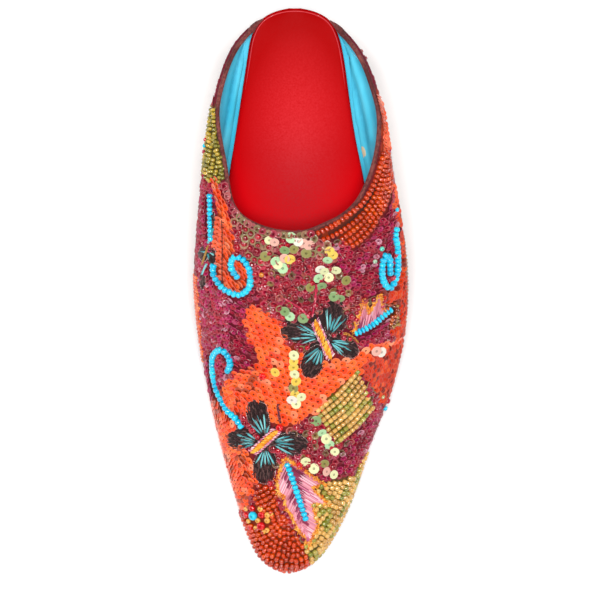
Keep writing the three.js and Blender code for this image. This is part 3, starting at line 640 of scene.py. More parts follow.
stations = list(zip(spine_x, spine_z, STATION_YS))
walk = [(*station, 180.0) for station in stations[::-1]]
walk += [(*stations[0], azimuth) for azimuth in np.arange(180 + FAN_STEP, 360, FAN_STEP)]
walk += [(*station, 0.0) for station in stations]
strips, edge_heights, edge_points = [], [], []
for x, z, y, azimuth in walk:
    turn = math.radians(azimuth)
    hits = []
    for rise in ELEVATIONS:
        out = Vector((math.cos(rise) * math.cos(turn), math.cos(rise) * math.sin(turn), math.sin(rise)))
        point, normal, _, _ = wall_tree.ray_cast(Vector((x, y, z)) + out * RAY_REACH, -out, RAY_REACH)
        if point is not None and normal.dot(out) > LEAST_TOWARDS:
            hits.append((*point, *normal))
    hits = np.array(hits)
    height = lengths(hits[:, :3])
    strips.append(read_at(np.arange(0, height[-1], SKIN_STEP), height, hits))
    reach = (hits[:, 0] - x) * math.cos(turn) + (hits[:, 1] - y) * math.sin(turn)
    edge_heights.append(height[reach.argmax()])
    edge_points.append(hits[reach.argmax(), :3])
TALLEST = max(len(s) for s in strips)
skin = np.full((len(strips), TALLEST, 6), np.nan)
for i, strip in enumerate(strips):
    skin[i, :len(strip)] = strip
edge_heights, edge_pixels = np.array(edge_heights), pixels_of(edge_points)
print("skin strips:", len(strips), "tallest mm:", round(TALLEST * SKIN_STEP / MM, 1))


# %% Rows of places along the skin
# A place below the edge that the photograph shows takes a pixel of that edge. The deeper it lies, the further
# along the shoe its pixel is taken, so that the colours run down to the sole in slants.
EDGE_INSET = 2.5
STATIONS_PER_MM_DOWN = 0.5
SHORTEST_RUN, ALONG_STEP = 3, 0.5 * MM
# A place is a row of twelve numbers. The last is how many mm it is hidden below the edge that shows.
POINT, NORMAL, ALONG, PIXEL, DEPTH = slice(0, 3), slice(3, 6), slice(6, 9), slice(9, 11), 11


def row_places(height, pitch, start):
    """Places a pitch apart along one row at a height above the sole."""
    line = skin[:, int(round(height / SKIN_STEP))]
    there = ~np.isnan(line[:, 0])
    every = np.arange(len(skin))
    found = [np.zeros((0, 12))]
    cuts = np.flatnonzero(np.diff(np.concatenate([[0], there.astype(int), [0]])))
    for first, last in zip(cuts[::2], cuts[1::2]):
        if last - first < SHORTEST_RUN:
            continue
        run = line[first:last]
        gone = lengths(run[:, :3])
        at = np.arange(start, gone[-1], pitch)
        place = read_at(at, gone, run)
        along = read_at(at + ALONG_STEP, gone, run[:, :3]) - read_at(at - ALONG_STEP, gone, run[:, :3])
        station = np.interp(at, gone, np.arange(first, last))
        depth = np.maximum(np.interp(station, every, edge_heights) - height, 0) / MM
        rim = read_at(station + STATIONS_PER_MM_DOWN * depth, every, edge_pixels)
        rim[:, 0] += np.sign(MIDDLE_PIXEL[0] - rim[:, 0]) * EDGE_INSET
        pixel = np.where(depth[:, None] > 0, rim, pixels_of(place[:, :3]))
        found.append(np.concatenate([place, along, pixel, depth[:, None]], 1))
    return np.concatenate(found)


def field_rows(pitch, row, low=0.8 * MM):
    """Staggered rows over the whole skin, from the sole's edge up."""
    heights = np.arange(low, (TALLEST - 1) * SKIN_STEP, row)
    return np.concatenate([row_places(h, pitch, pitch * (0.25 + 0.5 * (k % 2))) for k, h in enumerate(heights)])


print("places at 2.4 mm:", len(field_rows(2.4 * MM, 2.4 * MM)))

# %% Flatter towards the back
SLIM_FROM_Y, SLIM_TO_Y, SLIMMEST = 58 * MM, 94 * MM, 0.6


def upright(places):
    """How far parts may stand up: 1 over most of the shoe, 0 at the back, where they lie beside the binding."""
    return 1 - np.clip((places[:, 1:2] - SLIM_FROM_Y) / (SLIM_TO_Y - SLIM_FROM_Y), 0, 1)


def slim(places):
    """Smaller parts towards the back."""
    return SLIMMEST + (1 - SLIMMEST) * upright(places)


# %% Places on a grid of sight lines
TOP_PER_PIXEL = 0.424 * MM


def inside(pixels, outline):
    """Which pixels lie inside a closed outline."""
    x, y = pixels[:, 0], pixels[:, 1]
    odd = np.zeros(len(pixels), bool)
    for (x0, y0), (x1, y1) in zip(outline, outline[1:] + outline[:1]):
        crosses = (y0 > y) != (y1 > y)
        with np.errstate(divide="ignore", invalid="ignore"):
            odd ^= crosses & (x < (x1 - x0) * (y - y0) / (y1 - y0) + x0)
    return odd


# The opening, along the outer edge of the binding. Inside it the wall's top is covered or belongs to the lining.
OPENING = [(137, 18), (124, 30), (110, 48), (99, 70), (93, 90), (91, 108), (93.2, 128), (96.7, 154), (99.6, 173),
           (103.3, 192), (107.5, 202), (112.5, 211.5), (123.5, 221.5), (138, 229.5), (152, 233), (170, 234),
           (185, 232.3), (193, 230), (210, 221.5), (226, 210), (235, 200.5), (243.5, 190), (250, 178), (254, 170),
           (257, 155), (258, 130), (257, 108), (253, 88), (247, 68), (238, 50), (224, 33), (208, 20)]


def grid_places(outline, pitch, row, lean, jitter):
    """Staggered rows, seen from above and leaning by an angle, inside an outline of pixels."""
    outline_points = np.array(outline, float)
    middle, reach = outline_points.mean(0), np.ptp(outline_points, axis=0).max()
    p, r = pitch / TOP_PER_PIXEL, row / TOP_PER_PIXEL
    a, b = np.meshgrid(np.arange(-reach, reach, p), np.arange(-reach, reach, r))
    a = a + (np.round(b / r).astype(int) % 2) * p / 2
    turn = math.radians(lean)
    grid = np.stack([a * math.cos(turn) + b * math.sin(turn), -a * math.sin(turn) + b * math.cos(turn)], -1)
    grid = grid.reshape(-1, 2) + middle
    grid = grid + rng.normal(0, jitter, grid.shape)
    grid = grid[inside(grid, outline) & ~inside(grid, OPENING)]
    along = Vector((math.cos(turn), math.sin(turn), 0.0))
    found = []
    for px, py in grid:
        start, direction = ray_of(px, py)
        point, normal, _, _ = wall_tree.ray_cast(start, direction)
        if point is not None:
            found.append((*point, *normal, *along, px, py, 0.0))
    return np.array(found).reshape(-1, 12)


# %% [markdown]
# ## Bead, sequin and thread finishes
# Sequins are punched plastic film: a satin face with small scratches. Seed beads are pressed glass: smooth,
# with a sharp highlight. Embroidery thread is silky, and shines along its length. Each reads its colour from
# the tint attribute, so one finish serves many colours.

# %% Finishes that take each copy's tint
sequin_material = grained_material("punched_plastic_sequin", 1.2, 4.0, (0.18, 0.45), (0.2, 0.12),
                                   Specular_IOR_Level=0.25, Coat_Weight=0.06, Coat_Roughness=0.12)
# Thinner and clearer than the flat sequins, so that it looks wet: a glossy coat over a deep colour.
cup_material = grained_material("clear_cup_film", 0.8, 3.0, (0.12, 0.35), (0.2, 0.12),
                                Specular_IOR_Level=0.3, Coat_Weight=0.3, Coat_Roughness=0.05)
# Light goes a little way into the glass and comes out beside, so the beads are not dark at their edges.
bead_material = grained_material("pressed_glass_bead", 0.9, 2.0, (0.05, 0.18), (0.15, 0.1), Specular_IOR_Level=0.5,
                                 Coat_Weight=0.5, Coat_IOR=1.65, Coat_Roughness=0.08, Subsurface_Weight=0.45,
                                 Subsurface_Scale=1.2 * MM, Subsurface_Radius=(1.0, 0.6, 0.4))
FIBRE = 0.35   # in mm
thread_material = grained_material("silky_embroidery_thread", FIBRE, 3.0, (0.35, 0.6), (0.4, 0.1),
                                   Specular_IOR_Level=0.22, Sheen_Weight=0.06, Sheen_Roughness=0.4)

# %% [markdown]
# ## Small parts, each modelled once
# The beadwork uses five small parts: a flat sequin with its knot, a cupped sequin, a round seed bead on a
# string, a squarish tube bead, and one stitch of thread. Each is modelled once, at a thousand times its size
# so that the edit tools work well, and then read as plain numbers. Hundreds of copies are joined into one mesh
# with one colour for each copy.

# %% Keep a modelled part as numbers
def edit_all():
    """Opens the active object with all of it selected."""
    bpy.ops.object.mode_set(mode="EDIT")
    bpy.ops.mesh.select_all(action="SELECT")


def ring_out(scale, rise):
    """Extrudes the selected ring of edges, and scales and lifts the new ring."""
    bpy.ops.mesh.extrude_region_move(TRANSFORM_OT_translate={"value": (0, 0, rise)})
    bpy.ops.transform.resize(value=(scale, scale, 1))


def thicken(thickness):
    """Gives the active sheet its thickness."""
    bpy.ops.object.mode_set(mode="OBJECT")
    sheet = bpy.context.active_object.modifiers.new("sheet", "SOLIDIFY")
    sheet.thickness, sheet.offset = thickness, 1.0
    bpy.ops.object.modifier_apply(modifier=sheet.name)


def keep_part(material, tone=None, rim_highlight=None, smooth=True):
    """Reads the active object as a small part in millimetres, then removes it. tone darkens each point, and the
    painted highlight whitens it, by how far from the middle it lies."""
    bpy.ops.object.mode_set(mode="OBJECT")
    mesh = bpy.context.active_object.data
    points = np.array([v.co for v in mesh.vertices])
    out = np.hypot(points[:, 0], points[:, 1])
    part = {"points": points, "material": material, "smooth": smooth,
            "loops": np.array([c.vertex_index for c in mesh.loops]),
            "starts": np.array([f.loop_start for f in mesh.polygons]),
            "tone": tone(out) if tone else np.ones(len(points)),
            "rim_highlight": rim_highlight(out) if rim_highlight else np.zeros(len(points))}
    bpy.data.objects.remove(bpy.context.active_object)
    bpy.data.meshes.remove(mesh)
    print("part faces:", len(part["starts"]))
    return part


# %% Flat sequin with a knot in its hole
# The knot is dark: its thread, with painted shade in the hole. Full colour by the hole, a little deeper further out,
# and paler on the brim: a painted highlight.
SEQUIN_BRIM, SEQUIN_HOLE, SEQUIN_SHEET = 0.84, 0.24, 0.05
KNOT_AND_HOLE_SHADE, BRIM_TONE, BRIM_PAINTED_HIGHLIGHT = 0.16, 0.9, 0.16
bpy.ops.object.select_all(action="DESELECT")
bpy.ops.mesh.primitive_circle_add(vertices=10, radius=1.0, fill_type="NOTHING")
edit_all()
ring_out(SEQUIN_BRIM, 0.05)
ring_out(SEQUIN_HOLE / SEQUIN_BRIM, -0.02)
thicken(SEQUIN_SHEET)
bpy.ops.object.mode_set(mode="EDIT")
bpy.ops.mesh.select_all(action="DESELECT")
bpy.ops.mesh.primitive_uv_sphere_add(segments=5, ring_count=3, radius=SEQUIN_HOLE * 0.95, location=(0, 0, 0.03))
bpy.ops.transform.resize(value=(1, 1, 0.45))
flat_sequin = keep_part(
    sequin_material, smooth=False, rim_highlight=lambda out: BRIM_PAINTED_HIGHLIGHT * (out > 0.95),
    tone=lambda out: np.where(out < SEQUIN_HOLE * 0.97, KNOT_AND_HOLE_SHADE, np.where(out > 0.5, BRIM_TONE, 1.0)))

# %% Cupped sequin
# The cup's rim is paler: a painted highlight.
CUP_SHEET, CUP_RIM_PAINTED_HIGHLIGHT = 0.09, 0.07
bpy.ops.mesh.primitive_circle_add(vertices=8, radius=1.0, fill_type="NOTHING")
edit_all()
ring_out(0.62, -0.28)
ring_out(0.34, -0.06)
thicken(CUP_SHEET)
cup_sequin = keep_part(cup_material, tone=lambda out: 0.5 + 0.5 * np.clip(out, 0, 1),
                       rim_highlight=lambda out: CUP_RIM_PAINTED_HIGHLIGHT * (out > 0.9))

# %% Round seed bead on a string, its hole along Z
BEAD_HALF, HOLE_REACH, HOLE_DENT, HOLE_PAINTED_SHADE, BARREL_POWER = 0.8, 0.05, 0.72, 0.3, 2.6
bpy.ops.mesh.primitive_uv_sphere_add(segments=8, ring_count=7, radius=1.0)
edit_all()
bpy.ops.transform.resize(value=(1, 1, BEAD_HALF))
bpy.ops.object.mode_set(mode="OBJECT")
for v in bpy.context.active_object.data.vertices:
    girth = math.hypot(v.co.x, v.co.y)
    if girth < HOLE_REACH:
        v.co.z *= HOLE_DENT
    else:
        barrel = (1 - (abs(v.co.z) / BEAD_HALF) ** BARREL_POWER) ** 0.5
        v.co.x, v.co.y = v.co.x / girth * barrel, v.co.y / girth * barrel
# The ends of the hole are darkened: painted shade in the hole.
round_bead = keep_part(bead_material, tone=lambda out: np.where(out < HOLE_REACH, HOLE_PAINTED_SHADE, 1.0))

# %% Tube bead, its hole along Z
bpy.ops.mesh.primitive_cylinder_add(vertices=8, radius=1.0, depth=1.7, end_fill_type="NGON")
edit_all()
bpy.ops.mesh.bevel(offset=0.3, segments=1, affect="EDGES")
tube_bead = keep_part(bead_material)

# %% One stitch of thread, lying along X
bpy.ops.mesh.primitive_cylinder_add(vertices=6, radius=1.0, depth=0.7, end_fill_type="NGON")
bpy.ops.object.mode_set(mode="EDIT")
bpy.ops.mesh.select_mode(type="FACE")
for end in (1, -1):
    bpy.ops.mesh.select_all(action="DESELECT")
    bpy.ops.object.mode_set(mode="OBJECT")
    for face in bpy.context.active_object.data.polygons:
        face.select = face.normal.z * end > 0.9
    bpy.ops.object.mode_set(mode="EDIT")
    bpy.ops.mesh.extrude_region_move(TRANSFORM_OT_translate={"value": (0, 0, end * 0.15)})
    bpy.ops.transform.resize(value=(0.4, 0.4, 1))
bpy.ops.mesh.select_all(action="SELECT")
bpy.ops.transform.rotate(value=math.radians(90), orient_axis="Y", center_override=(0, 0, 0))
stitch = keep_part(thread_material)

# %% [markdown]
# ## Sewing copies on
# To sew a part on, a place needs three directions: along the row, across it, and out of the skin. A tilt lifts
# the front of each sequin over the next one, as roof tiles lie. All copies of one kind become one mesh, and a
# colour attribute named tint keeps each copy's own colour.

# %% Directions at a place
def unit(vectors):
    """Vectors of length 1."""
    return vectors / np.maximum(np.linalg.norm(vectors, axis=-1, keepdims=True), 1e-12)


def directions(normal, along, tilt=0.0):
    """Three axes at each place: along the row (lifted by tilt, in radians), across it, and outwards."""
    out = unit(np.asarray(normal, float))
    along = np.asarray(along, float)
    x = unit(along - out * np.sum(along * out, -1, keepdims=True))
    y = np.cross(out, x)
    tilt = np.broadcast_to(tilt, (len(out),))[:, None]
    return np.stack([x * np.cos(tilt) + out * np.sin(tilt), y, out * np.cos(tilt) - x * np.sin(tilt)], 1)


def turned(axes, angle):
    """The axes turned about their own outward direction."""
    angle = np.broadcast_to(angle, (len(axes),))[:, None]
    x = axes[:, 0] * np.cos(angle) + axes[:, 1] * np.sin(angle)
    return np.stack([x, np.cross(axes[:, 2], x), axes[:, 2]], 1)


def palette(count, choices):
    """A colour for each copy, from hex values with weights, with a small change of lightness."""
    colours = np.array([linear(c) for c, _ in choices])
    weights = np.array([w for _, w in choices], float)
    picked = colours[rng.choice(len(choices), count, p=weights / weights.sum())]
    return picked * rng.uniform(0.88, 1.1, (count, 1))


# %% Places, tilts and sizes of copies
def lifted(places, lift):
    """The points of places, a lift in mm out of the skin."""
    return places[:, POINT] + unit(places[:, NORMAL]) * lift * MM


def tilts(places, middle, spread):
    """A random tilt for each place, around a middle one in degrees."""
    return rng.normal(math.radians(middle), math.radians(spread), len(places))


def vary(places, low, high):
    """A random factor for each place."""
    return rng.uniform(low, high, (len(places), 1))


# %% Join the copies
# The colour towards which the painted highlight whitens the rims of sequins and cups.
RIM_HIGHLIGHT_COLOUR = np.array(linear("#F2D9D0"))


def sew(name, part, points, axes, sizes, colours, slot="upper_cloth", *stands_for):
    """One mesh of a part's copies: points in metres, axes from directions(), sizes in mm. Colours are hex values
    with weights, a function of the count, or a linear colour for each copy."""
    count, corners = len(points), len(part["points"])
    if not isinstance(colours, np.ndarray):
        colours = colours(count) if callable(colours) else palette(count, colours)
    sizes = np.broadcast_to(np.asarray(sizes, float), (count, 3))
    local = part["points"][None] * sizes[:, None, :] * MM
    placed = np.einsum("nvk,nkd->nvd", local, axes) + np.asarray(points)[:, None, :]
    loops = (part["loops"][None] + corners * np.arange(count)[:, None]).ravel()
    starts = (part["starts"][None] + len(part["loops"]) * np.arange(count)[:, None]).ravel()
    mesh = bpy.data.meshes.new(name)
    mesh.vertices.add(count * corners)
    mesh.vertices.foreach_set("co", placed.astype(np.float32).ravel())
    mesh.loops.add(len(loops))
    mesh.loops.foreach_set("vertex_index", loops.astype(np.int32))
    mesh.polygons.add(len(starts))
    mesh.polygons.foreach_set("loop_start", starts.astype(np.int32))
    mesh.update(calc_edges=True)
    mesh.validate()
    # Painted highlight: rims are whitened towards its colour.
    rim_highlight = part["rim_highlight"][None, :, None]
    colour = colours[:, None, :] * part["tone"][None, :, None] * (1 - rim_highlight) + RIM_HIGHLIGHT_COLOUR * rim_highlight
    rgba = np.concatenate([colour, np.ones((count, corners, 1))], 2)
    tint = mesh.attributes.new("tint", "FLOAT_COLOR", "POINT")
    tint.data.foreach_set("color", rgba.astype(np.float32).ravel())
    mesh.polygons.foreach_set("use_smooth", np.full(len(starts), part["smooth"]))
    mesh.materials.append(part["material"])
    piece = bpy.data.objects.new(name, mesh)
    bpy.context.scene.collection.objects.link(piece)
    return keep(piece, slot, *stands_for)


# %% [markdown]
# ## Strings of turquoise beads
# Two curls, a hook, a short bar and the two leaf veins are strings of opaque turquoise beads. Each is a line
# of pixels drawn along the string's middle, laid on the upper and filled with beads a pitch apart.

# %% Strings laid on the upper
LEAST_FACING, LIFT_SHARE, STRING_STEP = 0.5, 0.85, 0.3 * MM


def touch_all(pixels, skin_tree=outer_tree):
    """Points and normals of the upper under pixels."""
    points, normals = zip(*(touch(px, py, skin_tree) for px, py in pixels))
    return np.array(points), np.array(normals)


def laid_line(pixels, lift, skin_tree=outer_tree, count=90):
    """A smooth line of pixels laid on the upper, lifted along the sight lines until it clears the skin."""
    line = between(pixels, count)
    points, normals = touch_all(line, skin_tree)
    sight = -np.array([ray_of(px, py)[1] for px, py in line])
    facing = np.maximum(np.sum(unit(normals) * sight, 1, keepdims=True), LEAST_FACING)
    return points + sight * lift / facing, normals


def string_places(pixels, pitch, lift, skin_tree=outer_tree):
    """Bead places along a laid line: points, normals and the string's direction."""
    points, normals = laid_line(pixels, lift, skin_tree)
    gone = lengths(points)
    at = np.linspace(0, gone[-1], max(2, int(round(gone[-1] / pitch))) + 1)
    along = read_at(at + STRING_STEP, gone, points) - read_at(at - STRING_STEP, gone, points)
    return read_at(at, gone, points), read_at(at, gone, normals), along


def strung(normals, along):
    """Axes for a bead on a string: its hole, Z, lies along the string."""
    axes = directions(normals, along)
    return np.stack([axes[:, 1], axes[:, 2], axes[:, 0]], 1)


def string_beads(name, lines, radius, pitch, colours, slot, *stands_for, part=round_bead, squash=1.0,
                 skin_tree=outer_tree):
    """Sews one piece of strung beads along several lines of pixels. squash is a bead's length for its radius."""
    sets = [string_places(line, pitch * MM, radius * LIFT_SHARE * MM, skin_tree) for line in lines]
    points, normals, along = (np.concatenate(columns) for columns in zip(*sets))
    sizes = radius * vary(points, 0.92, 1.07) * (1, 1, squash)
    return sew(name, part, points, strung(normals, along), sizes, colours, slot, *stands_for)


# %% Turquoise scrolls, bar and veins
TURQUOISE = [("#12BEE3", 5), ("#1FCBEA", 4), ("#0FB2D8", 2)]
SCROLL_INNER = [(88.3, 266), (88, 273), (91.4, 280.4), (95.2, 285.8), (99.8, 289.6), (105.1, 292.3), (112.8, 295),
                (118.1, 293.4), (122.7, 289.6), (125, 285), (125.4, 279.3), (125, 273.6), (123.9, 268.2),
                (121.2, 263.6), (117.8, 259.5), (112.8, 257), (108.5, 257.5), (106.5, 261), (105.9, 266), (108, 271.5),
                (112, 276.6)]
SCROLL_OUTER = [(271.6, 229.5), (270.7, 237), (272.4, 246), (272.8, 256), (273.2, 265), (272.4, 273), (270, 281),
                (265.4, 288), (261, 285.5), (258, 279), (257, 271), (257.5, 265), (259, 258), (262, 255),
                (265, 260.6), (265, 266), (265.4, 273)]
SCROLL_HOOK = [(102.5, 371), (105, 366), (104.4, 360), (101.4, 354), (96, 350), (90.7, 352), (87.6, 357),
               (87.2, 363), (87.6, 371), (89, 380.5), (91.4, 390), (95.3, 398), (99, 406), (104.4, 413), (110, 418),
               (116, 426)]
SIDE_BAR = [(84.6, 196), (84.8, 210), (85.2, 225), (85.6, 239)]
LEAF_INSTEP_VEIN = [(231, 333), (240.5, 328.6), (249.6, 323), (258, 316), (265.4, 310)]
LEAF_TOE_VEIN = [(162.3, 465), (168, 481), (174, 499), (180.6, 518.6)]
# Each string: its line, the beads' radius and pitch in mm, their length for that radius, and a CAD node.
TURQUOISE_STRINGS = {
    "scroll_inner_beads": (SCROLL_INNER, 1.55, 2.15, 1.0, "scroll_inner"),
    "scroll_outer_beads": (SCROLL_OUTER, 1.55, 2.15, 1.0, "scroll_outer"),
    "scroll_hook_beads": (SCROLL_HOOK, 1.55, 2.15, 1.0, "scroll_hook"),
    "side_bar_beads": (SIDE_BAR, 1.3, 1.85, 1.0),
    "leaf_instep_vein_beads": (LEAF_INSTEP_VEIN, 1.6, 1.6, 0.66),
    "leaf_toe_vein_beads": (LEAF_TOE_VEIN, 1.5, 2.2, 0.95),
}
for name, (line, radius, pitch, squash, *node) in TURQUOISE_STRINGS.items():
    string_beads(name, [line], radius, pitch, TURQUOISE, "turquoise_beads", *node, squash=squash)

# %% [markdown]
# ## Rust rows along the throat
# Five strings of translucent rust beads leave the middle of the throat and draw together beside the collar.

# %% Rust collar rows
RUST = [("#C03400", 5), ("#AC2A00", 3), ("#CC4400", 2)]
RUST_ROWS = [
    [(193.2, 232.9), (201.5, 229), (210.6, 224.2), (220.3, 217.3), (231.6, 208.7), (238.5, 202.3), (246, 190),
     (251.3, 178), (255.4, 166), (259, 154)],
    [(198.6, 239.4), (207.9, 235.8), (219.7, 228.9), (231.4, 220.2), (239.7, 211.4), (249.6, 196.5), (255.2, 181.5),
     (259.2, 167), (261.8, 152)],
    [(217.2, 238.7), (227.6, 230.9), (236.5, 223.2), (245.9, 211.7), (253, 200), (258.3, 184.5), (261.7, 169),
     (263.6, 154)],
    [(221.2, 243.4), (231.9, 235.6), (240.8, 226.5), (248.8, 215.2), (253.2, 209.2), (258, 199), (262, 185.5),
     (264.4, 171), (265.4, 157)],
    [(227.7, 245.5), (234.3, 241.2), (241, 234.3), (246.8, 228), (252.7, 217.3), (257.6, 209.3), (262, 199), (265, 187),
     (266.6, 175), (267, 163)],
]
string_beads("rust_collar_beads", RUST_ROWS[1:], 1.24, 1.98, RUST, "rust_beads", "rust_band_collar")
string_beads("rust_collar_top_row", RUST_ROWS[:1], 1.3, 2.0, RUST, "rust_beads", skin_tree=wall_tree)

# %% [markdown]
# ## Straw diamond
# Eight slightly bowed strings of squarish straw beads, with a few olive ones, fill a diamond at the side.

# %% Straw rows between the diamond's corners
STRAW = [("#D2A456", 6), ("#C2934A", 3), ("#D8AC60", 2)]
GREENISH = [("#9A9138", 3), ("#7F8126", 2), ("#B0A24A", 2)]


def straw_runs(count):
    """Straw beads with runs of olive ones between them."""
    shades = palette(count, STRAW)
    olive, at = palette(count, GREENISH), rng.integers(1, 6)
    while at < count:
        run = rng.integers(1, 4)
        shades[at:at + run] = olive[at:at + run]
        at += run + rng.integers(3, 9)
    return shades


DIAMOND = [(231.5, 371), (248, 409.6), (212.5, 444), (192.3, 409.3)]
DIAMOND_ROWS, DIAMOND_BOW = 8, 2.2
top, right, bottom, left = (np.array(c, float) for c in DIAMOND)
diamond_lines = []
for share in np.linspace(0.04, 0.96, DIAMOND_ROWS):
    start, end = left + (bottom - left) * share, top + (right - top) * share
    lead = (end - start) / np.linalg.norm(end - start) * rng.uniform(-0.7, 0.7)
    middle = (start + end) / 2 + np.array([DIAMOND_BOW, DIAMOND_BOW]) * 0.7
    diamond_lines.append([tuple(start + lead), tuple(middle), tuple(end + lead)])
string_beads("straw_side_beads", diamond_lines, 1.14, 2.22, straw_runs, "straw_beads", "straw_patch_side",
             part=tube_bead, squash=1.1)

# %% [markdown]
# ## Where each field of the embroidery lies
# The rest of the upper is filled, field by field. Each field is an outline of photograph pixels, drawn
# with only the corners it needs. Where the skin turns out of sight, a place takes the field of the
# nearest edge it can be seen at, so the colours run on down to the sole.

# %% Field outlines
FIELDS = {
    "rust_toe": [(134, 483), (147, 483), (158, 514), (179, 544), (186, 572), (172, 584), (150, 582), (130, 566),
                 (118, 541), (115, 524), (124, 510), (131, 497)],
    "straw_toe": [(204, 482), (227, 476), (240.5, 449), (251, 452), (234, 502), (214, 546), (194, 572), (186, 572),
                  (179, 544), (183, 546), (192, 526), (187, 504), (204, 504), (187, 486), (200, 484)],
    "herringbone": [(88.5, 180), (88.5, 190), (91, 200), (93, 212), (93, 221), (91, 235), (90.5, 250), (90, 262),
                    (94, 277), (100, 287), (113, 292), (121, 286), (122, 273), (115, 261), (110.5, 251), (109.5, 240),
                    (107, 228), (104.5, 217), (102, 207), (98.5, 196), (96, 187), (94, 179)],
    "olive_left": [(93, 104), (86, 110), (82, 130), (79, 165), (82, 180), (88, 184), (96, 181), (101, 178), (97, 150),
                   (94, 128)],
    "salmon_right": [(250, 88), (268, 88), (278, 150), (284, 205), (268, 205), (266, 175), (264, 150), (257, 150),
                     (254, 118)],
    "brown_right": [(275.5, 234), (292, 234), (292, 322), (277.5, 322), (278.5, 300), (277.5, 262)],
    "brown_beads": [(256, 300), (270, 302), (273, 311), (273, 326), (262, 329), (264, 316), (258, 310)],
    "orange_edge": [(266, 205), (274, 228), (275, 262), (268, 289), (254, 290), (258, 301), (270, 302), (273, 311),
                    (273, 326), (262, 331), (270, 338), (292, 326), (292, 205)],
    "orange_right": [(240, 358), (262, 347), (292, 330), (292, 350), (280, 375), (268, 399), (254, 403), (247, 390),
                     (238, 372)],
    "orange_fan": [(93, 398), (104, 380), (113, 371), (128, 366), (133, 374), (126, 394), (112, 404), (116, 428),
                   (108, 430), (122, 452), (130, 486), (122, 508), (116, 524), (104, 530), (95, 487), (80, 437),
                   (76, 405)],
    "orange_left": [(58, 270), (75, 275), (76, 300), (78, 330), (81, 362), (58, 362)],
    "orange": [(126, 304), (140, 309), (155, 321), (158, 335), (168, 347), (178, 349), (190, 362), (205, 360),
               (214, 358), (228, 353), (237, 346), (259, 343), (292, 326), (292, 350), (280, 375), (268, 399),
               (256, 404), (250, 392), (243, 380), (232, 372), (195, 410), (162, 426), (148, 424), (140, 418),
               (130, 402), (114, 424), (108, 430), (128, 456), (132, 486), (122, 508), (116, 524), (104, 530),
               (95, 487), (80, 437), (76, 405), (93, 398), (104, 380), (113, 371), (128, 366), (134, 359),
               (126, 342), (121, 321)],
    "purple": [(231, 337), (262, 318), (270, 322), (262, 343), (240, 346)],
    "throat": [(106, 208), (124, 222), (152, 233), (186, 232), (204, 240), (196, 254), (176, 252), (166, 262),
               (140, 260), (128, 264), (118, 246), (110, 226)],
    "magenta_left": [(60, 0), (140, 0), (110, 60), (93, 112), (90, 195), (95, 231), (90, 262), (88, 285), (104, 296),
                     (122, 290), (127, 283), (135, 300), (126, 303), (120, 321), (126, 342), (133, 358), (112, 371),
                     (100, 384), (90, 402), (60, 402)],
    "magenta_right": [(205, 245), (228, 248), (245, 232), (262, 200), (240, 60), (205, 0), (300, 0), (300, 250),
                      (270, 250), (262, 290), (255, 292), (248, 296), (238, 297), (228, 290), (215, 270)],
    "magenta_low": [(248, 410), (256, 402), (290, 395), (270, 440), (241, 456), (228, 475), (205, 480), (215, 455)],
}
DEFAULT_FIELD = "crimson"


def field_of(pixels):
    """The name of the field that each pixel lies in."""
    names = np.full(len(pixels), DEFAULT_FIELD, dtype=object)
    for name in reversed(FIELDS):
        names[inside(pixels, FIELDS[name])] = name
    return names


# %% Motifs that the fields leave free
# A wing: where its rays leave the body, and its outline, in pixels.
INSTEP_WINGS = [
    ((196, 335), [(192, 326), (182, 322.5), (171, 321.3), (163, 322.5), (157, 328), (157.5, 334.5), (163, 339),
                  (172, 340.8), (182, 341.2), (192, 338)]),
    ((203, 334), [(201, 331), (198, 318), (199, 308), (203, 302), (209, 300.3), (216, 303), (220, 309.5), (221, 320),
                  (217, 328), (207, 334)]),
    ((197, 343), [(191, 344), (182, 350), (177, 358), (176, 367), (179, 374), (185, 376.5), (191, 374.5), (196, 366),
                  (197.5, 354), (197, 346)]),
    ((203, 339), [(204, 337), (211, 333.5), (220, 337.5), (229, 344), (232.5, 350), (229.5, 355.5), (222, 356),
                  (213, 350.5), (206, 345)]),
]
VAMP_WINGS = [
    ((142, 437), [(133, 434), (126, 424), (123, 412), (124, 404), (129, 400.5), (137, 402), (142, 405), (143.5, 413),
                  (144.8, 424), (143, 433)]),
    ((136, 441), [(132, 436), (123.6, 430.2), (114.4, 428.5), (107, 431.5), (104.4, 437.5), (106.7, 444.8), (113, 448),
                  (121, 446.5), (129, 443)]),
    ((145, 441), [(147, 438), (156, 434), (166, 432.5), (176, 435.5), (182, 442), (180, 449.5), (169, 454.3),
                  (158, 451.8), (147, 445)]),
    ((141, 446), [(138, 447), (133, 454), (129.5, 466), (130.5, 476), (138.5, 482), (147.5, 480), (150.7, 469.5),
                  (151, 458), (147, 449), (143, 445)]),
]
INSTEP_BODY = [(189.3, 319.5), (205, 355.5)]
VAMP_BODY = [(152.3, 429), (129.3, 451.5)]
LEAF_INSTEP = [(227, 331), (238, 297.5), (243, 311), (249.6, 297.5), (254.6, 293), (256.7, 308), (258, 316),
               (240.5, 328.6)]
LEAF_TOE = [(159.6, 456), (199.8, 484), (186.4, 486), (203.4, 504), (187.3, 504), (191.8, 526), (183, 546),
            (179.3, 538), (170.4, 526), (166.8, 514), (160.5, 508), (158.8, 495), (154.3, 495), (152.5, 477.5)]
FLOWER = (130.6, 514.6)


